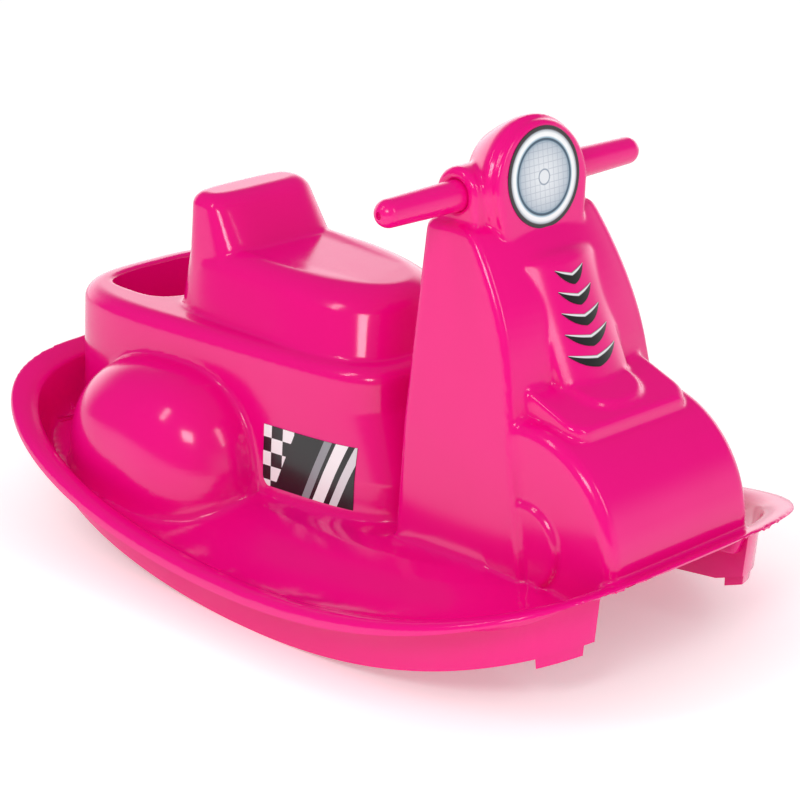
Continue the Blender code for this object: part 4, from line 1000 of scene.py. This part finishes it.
def zinc_plate(name):
    """Bright zinc over rolled steel: a grey metal with fine cloudy grain, 2 mm across."""
    material, shader = new_material(name)
    place = add_node(material, "ShaderNodeTexCoord")
    cloud = add_node(material, "ShaderNodeTexNoise", inputs={
        "Vector": place.outputs["Object"], "Scale": 1 / ZINC_GRAIN, "Detail": 2.0})
    tone = add_node(material, "ShaderNodeValToRGB", inputs={"Fac": cloud.outputs["Fac"]},
                    stops=[(0.0, "b4b6ba"), (1.0, "d2d4d6")])
    feed(shader, {"Base Color": tone, "Metallic": 1.0, "Roughness": 0.3})
    return material


screw_steel = zinc_plate("zinc_plated_steel")
for word in ("right", "left"):
    nodes[f"handle_screw_{word}"].data.materials.clear()
    nodes[f"handle_screw_{word}"].data.materials.append(screw_steel)

# Headlamp label
# A round printed film, 90 mm across and 0.4 mm thick, stuck on the leaning face of the head.
# Its print is a generic lamp: a dark bezel, a silver reflector ring and a ribbed clear lens.
LABEL_THICKNESS = 0.0004
LABEL_LIFT = 0.0003
HEADLAMP_RADIUS = 0.0450
HEADLAMP_Z = 0.4215
LENS_RIB_PITCH = 0.0060
LENS_RIB_WIDTH = 0.00072
LENS_EDGE = 0.69
LENS_HEART = 0.16
LENS_INK = 0.35


def film_shader(name, roughness):
    material, shader = new_material(name)
    feed(shader, {"Roughness": roughness, "Coat Weight": 0.3, "Coat Roughness": 0.12})
    return material, shader


def lamp_print():
    """Gloss-laminated print: bezel, ring and lens are drawn by distance from the middle."""
    material, shader = film_shader("printed_lamp_film", 0.22)
    place = add_node(material, "ShaderNodeTexCoord").outputs["Object"]
    flat = add_node(material, "ShaderNodeVectorMath", {"operation": "MULTIPLY"}, {
        0: place, 1: (1 / HEADLAMP_RADIUS, 1 / HEADLAMP_RADIUS, 0.0)})
    share = add_node(material, "ShaderNodeVectorMath", {"operation": "LENGTH"}, {
        0: flat}).outputs["Value"]
    rings = add_node(material, "ShaderNodeValToRGB", inputs={"Fac": share}, stops=[
        (0.0, "dfe3e8"), (0.125, "dfe3e8"), (0.14, "8f9cab"), (0.155, "8f9cab"), (0.17, "dde2e7"),
        (0.45, "ccd3da"), (0.64, "b3bec9"), (0.695, "93a6b5"), (0.71, "3f5f78"), (0.745, "2c3c4a"),
        (0.765, "8fb0c4"), (0.80, "f4f5f6"), (0.86, "eceef0"), (0.905, "a9b2ba"), (0.925, "4a3a42"),
        (0.94, "150e12"), (1.0, "150e12")])
    parts = add_node(material, "ShaderNodeSeparateXYZ", inputs={"Vector": place})
    waves = [add_node(material, "ShaderNodeMath", {"operation": "PINGPONG"}, {
        0: parts.outputs[axis], 1: LENS_RIB_PITCH / 2}) for axis in "XY"]
    nearest = add_node(material, "ShaderNodeMath", {"operation": "MINIMUM"}, dict(enumerate(waves)))
    rib = add_node(material, "ShaderNodeMath", {"operation": "LESS_THAN"}, {
        0: nearest, 1: LENS_RIB_WIDTH / 2})
    on_lens = add_node(material, "ShaderNodeMath", {"operation": "COMPARE"}, {
        0: share, 1: (LENS_EDGE + LENS_HEART) / 2, 2: (LENS_EDGE - LENS_HEART) / 2})
    seen = add_node(material, "ShaderNodeMath", {"operation": "MULTIPLY"}, {0: rib, 1: on_lens})
    ink = add_node(material, "ShaderNodeMath", {"operation": "MULTIPLY"}, {0: seen, 1: LENS_INK})
    colour = add_node(material, "ShaderNodeMix", {"data_type": "RGBA"}, {
        0: ink, 6: rings, 7: linear_colour("73809a")})
    feed(shader, {"Base Color": colour.outputs[2]})
    return material


lean = math.atan(HEAD_LEAN)
face_y = HEAD_SECTIONS[0][0] + head_lean(HEADLAMP_Z)
centre = Vector((0.0, face_y - LABEL_LIFT * math.cos(lean), HEADLAMP_Z + LABEL_LIFT * math.sin(lean)))
edge = LABEL_THICKNESS / 3
lamp_line = [(0.0, 0.0), (0.0, HEADLAMP_RADIUS), (LABEL_THICKNESS - edge, HEADLAMP_RADIUS),
             (LABEL_THICKNESS, HEADLAMP_RADIUS - edge), (LABEL_THICKNESS, HEADLAMP_RADIUS * 0.5),
             (LABEL_THICKNESS, 0.0)]
lamp_label = turned("lamp_label", lamp_line, 160, Matrix.Identity(4))
lamp_label.matrix_world = Matrix.Translation(centre) @ Matrix.Rotation(math.pi / 2 - lean, 4, "X")
lamp_label.data.materials.append(lamp_print())
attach(lamp_label, "root")
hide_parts("headlight_sticker")

# Vent labels
# Five shallow V strips of printed film down the panel, wider towards the foot: black slots
# with a silver upper lip, each bent to the panel's bow.
VENT_COUNT = 5
VENT_TOP_Z = 0.3465
VENT_PITCH = 0.0170
VENT_TOP_HALF = 0.0175
VENT_GROWTH = 0.0031
VENT_BODY = 0.0085
VENT_TIP_HEIGHT = 0.0008
VENT_DIP = 0.0045
VENT_TAPER = 2.5
VENT_LIP = 0.22


def curved_film(name, rows, surface):
    """A thin closed film on SURFACE, from a grid of (a, b) places; UV runs 0 to 1 both ways."""
    work = bmesh.new()
    sheets = []
    for lift in (LABEL_LIFT + LABEL_THICKNESS, LABEL_LIFT):
        sheets.append([[work.verts.new(surface(a, b, lift)) for a, b in row] for row in rows])
    last_row, last = len(rows) - 1, len(rows[0]) - 1
    uv_layer = work.loops.layers.uv.new("print")
    for sheet in sheets:
        for i in range(last_row):
            for j in range(last):
                face = work.faces.new((sheet[i][j], sheet[i][j + 1], sheet[i + 1][j + 1], sheet[i + 1][j]))
                for loop, (k, m) in zip(face.loops, ((i, j), (i, j + 1), (i + 1, j + 1), (i + 1, j))):
                    loop[uv_layer].uv = (m / last, k / last_row)
    border = [(0, j) for j in range(last + 1)] + [(i, last) for i in range(1, last_row + 1)]
    border += [(last_row, j) for j in reversed(range(last))]
    border += [(i, 0) for i in reversed(range(1, last_row))]
    for (i, j), (k, m) in zip(border, border[1:] + border[:1]):
        work.faces.new((sheets[0][i][j], sheets[0][k][m], sheets[1][k][m], sheets[1][i][j]))
    bmesh.ops.recalc_face_normals(work, faces=work.faces)
    film = drawn(name, work)
    film.data.shade_smooth()
    film.data.set_sharp_from_angle(angle=SHARP_ANGLE)
    return film


def vent_print():
    """Black ink under a satin laminate, with a graded silver lip along the upper edge."""
    material, shader = film_shader("printed_vent_film", 0.3)
    place = add_node(material, "ShaderNodeTexCoord")
    parts = add_node(material, "ShaderNodeSeparateXYZ", inputs={"Vector": place.outputs["UV"]})
    lip = add_node(material, "ShaderNodeValToRGB", inputs={"Fac": parts.outputs["Y"]}, stops=[
        (0.0, "8f9298"), (0.10, "f2f3f5"), (VENT_LIP, "c7c9cd"), (VENT_LIP + 0.04, "0c0c0d"),
        (0.75, "121214"), (1.0, "070708")])
    feed(shader, {"Base Color": lip})
    return material


def on_panel(x, z, lift):
    return (x, panel_front(x, z) - lift, z)


vent_film = vent_print()
for number in range(VENT_COUNT):
    half = VENT_TOP_HALF + VENT_GROWTH * number
    tip_z = VENT_TOP_Z - VENT_PITCH * number
    rows = []
    for level in spread(0.0, 1.0, 7):
        row = []
        for share in spread(-1.0, 1.0, 49):
            upper = tip_z - VENT_DIP * (1 - abs(share))
            height = VENT_BODY * (1 - abs(share) ** VENT_TAPER) + VENT_TIP_HEIGHT
            row.append((half * share, upper - level * height))
        rows.append(row)
    film = curved_film(f"vent_label_{number + 1}", rows, on_panel)
    film.data.materials.append(vent_film)
    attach(film, "root")
    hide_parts(f"vent_sticker_{number + 1}")

# Side labels
# One printed film on each side of the body below the seat. Its print is a plain racing
# one: slanted silver, white and grey bars on black, with a chequered rear end.
SIDE_LABEL_FRONT_Y = -0.057
SIDE_LABEL_REAR_Y = 0.052
SIDE_LABEL_LOW_Z = 0.092
SIDE_LABEL_HIGH_Z = 0.152
CHECK_SQUARE = 0.014
CHECK_START = 0.86
BAR_SLANT = 0.22


def body_side(y, z):
    inset = BODY_DRAFT * z
    middle = (body_front(z) + BODY_REAR_Y) / 2
    share = (y - middle) / ((BODY_REAR_Y - body_front(z)) / 2 - inset)
    half = BODY_FRONT_HALF + (BODY_REAR_HALF - BODY_FRONT_HALF) * (share + 1) / 2 - inset
    power = BODY_FRONT_POWER if share < 0 else BODY_REAR_POWER
    return half * (1 - abs(share) ** power) ** (1 / power)


def side_print():
    """Gloss-laminated print: a black field with slanted silver and white bars and a
    chequered rear end, squares 14 mm wide."""
    material, shader = film_shader("printed_side_film", 0.25)
    place = add_node(material, "ShaderNodeTexCoord")
    parts = add_node(material, "ShaderNodeSeparateXYZ", inputs={"Vector": place.outputs["UV"]})
    slant = add_node(material, "ShaderNodeMath", {"operation": "MULTIPLY_ADD"}, {
        0: parts.outputs["Y"], 1: BAR_SLANT, 2: parts.outputs["X"]})
    bars = add_node(material, "ShaderNodeValToRGB", inputs={"Fac": slant}, stops=[
        (0.0, "101012"), (0.16, "d9dbde"), (0.24, "101012"), (0.30, "f4f4f5"), (0.42, "101012"),
        (0.46, "8f9398"), (0.54, "101012"), (1.0, "101012")])
    bars.color_ramp.interpolation = "CONSTANT"
    checks = add_node(material, "ShaderNodeTexChecker", inputs={
        "Vector": place.outputs["Object"], "Color1": linear_colour("f4f4f5"),
        "Color2": linear_colour("101012"), "Scale": 1 / CHECK_SQUARE})
    rear = add_node(material, "ShaderNodeMath", {"operation": "GREATER_THAN"}, {
        0: slant, 1: CHECK_START})
    colour = add_node(material, "ShaderNodeMix", {"data_type": "RGBA"}, {0: rear, 6: bars, 7: checks})
    feed(shader, {"Base Color": colour.outputs[2]})
    return material


side_film = side_print()
for side, word in ((1, "right"), (-1, "left")):
    rows = [[(y, z) for y in spread(SIDE_LABEL_FRONT_Y, SIDE_LABEL_REAR_Y, 49)]
            for z in spread(SIDE_LABEL_LOW_Z, SIDE_LABEL_HIGH_Z, 13)]
    film = curved_film(f"side_label_{word}", rows,
                       lambda y, z, lift, side=side: (side * (body_side(y, z) + lift), y, z))
    film.data.materials.append(side_film)
    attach(film, "root")
    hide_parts(f"side_sticker_{word}")

# Floor, lights and camera
# White paper floor that glows a little, in a white room. In the plastic's mirror the room is dark
# above, with a bright paper wall behind the object and a dimmer one to the camera's right. A broad
# soft box stands above the camera, and a narrow one on each side of it.
FLOOR_REACH = 6
FLOOR_GLOW = 0.30
ROOM_LIGHT = 0.74
WALL_LIGHT = 1.9
CEILING_LIGHT = 0.1
FRONT_WALL_LIGHT = 0.8
TO_WALL = (0.695, 0.719, 0.0)
TO_FRONT_WALL = (1.0, -1.0, 0.0)

floor_corners = [(x * FLOOR_REACH, y * FLOOR_REACH, 0) for x, y in ((-1, -1), (1, -1), (1, 1), (-1, 1))]
floor_mesh = bpy.data.meshes.new("floor")
floor_mesh.from_pydata(floor_corners, [], [(0, 1, 2, 3)])
floor = add_object("floor", floor_mesh)
floor_paper, paper_shader = new_material("white_paper")
feed(paper_shader, {"Base Color": (0.96, 0.96, 0.96, 1), "Roughness": 0.9,
                    "Emission Color": (1, 1, 1, 1), "Emission Strength": FLOOR_GLOW})
floor_mesh.materials.append(floor_paper)

world = bpy.data.worlds.new("studio")
bpy.context.scene.world = world
world.use_nodes = True
around = add_node(world, "ShaderNodeTexCoord").outputs["Generated"]
up = add_node(world, "ShaderNodeSeparateXYZ", inputs={"Vector": around}).outputs["Z"]
fades = []
for arrow, starts, ends, light in ((TO_WALL, 0.35, 0.75, 1.0), (TO_FRONT_WALL, 0.3, 1.1, FRONT_WALL_LIGHT)):
    towards = add_node(world, "ShaderNodeVectorMath", {"operation": "DOT_PRODUCT"}, {0: around, 1: arrow})
    fades.append(add_node(world, "ShaderNodeMapRange", {"interpolation_type": "SMOOTHSTEP"}, {
        "Value": towards.outputs["Value"], "From Min": starts, "From Max": ends, "To Max": light}))
for starts, ends in ((0.25, 0.62), (0.08, 0.45)):
    fades.append(add_node(world, "ShaderNodeMapRange", {"interpolation_type": "SMOOTHSTEP"}, {
        "Value": up, "From Min": starts, "From Max": ends, "To Min": 1.0, "To Max": 0.0}))
wall = add_node(world, "ShaderNodeMath", {"operation": "MULTIPLY"}, {0: fades[0], 1: fades[2]})
rest = add_node(world, "ShaderNodeMath", {"operation": "MULTIPLY_ADD"}, {
    0: fades[1], 1: fades[3], 2: CEILING_LIGHT})
mirrored = add_node(world, "ShaderNodeMath", {"operation": "MULTIPLY_ADD"}, {
    0: wall, 1: WALL_LIGHT, 2: rest})
ray = add_node(world, "ShaderNodeLightPath")
strength = add_node(world, "ShaderNodeMix", {"data_type": "FLOAT"}, {
    "Factor": ray.outputs["Is Glossy Ray"], "A": ROOM_LIGHT, "B": mirrored})
feed(world.node_tree.nodes["Background"], {"Strength": strength, "Color": (1, 1, 1, 1)})
bpy.context.scene.view_settings.view_transform = "Standard"

SOFT_BOX_DISTANCE = 2.2
CAMERA_AZIMUTH = -44
CAMERA_ELEVATION = 20
CAMERA_DISTANCE = 2.5
CAMERA_TARGET = Vector((0, -0.021, 0.1675))
CAMERA_LENS_MM = 118.44


def direction(azimuth, elevation):
    """Unit arrow towards a place seen round the object; azimuth 0 is the object's front."""
    a, e = math.radians(azimuth), math.radians(elevation)
    return Vector((math.sin(a) * math.cos(e), -math.cos(a) * math.cos(e), math.sin(e)))


def soft_box(name, azimuth, elevation, width, height, power, target):
    light = bpy.data.lights.new(name, "AREA")
    light.shape = "RECTANGLE"
    light.size = width
    light.size_y = height
    light.energy = power
    thing = add_object(name, light)
    arrow = direction(azimuth, elevation)
    thing.location = Vector(target) + arrow * SOFT_BOX_DISTANCE
    thing.rotation_mode = "QUATERNION"
    thing.rotation_quaternion = arrow.to_track_quat("Z", "Y")


soft_box("key_box", -56, 34, 0.62, 0.46, 9, (0, 0, 0.15))
soft_box("front_strip", 5, 35, 0.25, 0.9, 4, (0, -0.2, 0.2))
soft_box("side_strip", -100, 48, 0.2, 0.8, 4, (0, 0.1, 0.15))

back = direction(CAMERA_AZIMUTH, CAMERA_ELEVATION)
camera = add_object("camera", bpy.data.cameras.new("camera"))
camera.location = CAMERA_TARGET + back * CAMERA_DISTANCE
camera.rotation_mode = "QUATERNION"
camera.rotation_quaternion = (-back).to_track_quat("-Z", "Y")
camera.data.sensor_width = 36
camera.data.lens = CAMERA_LENS_MM
camera.data.clip_start = 0.05
bpy.context.scene.camera = camera
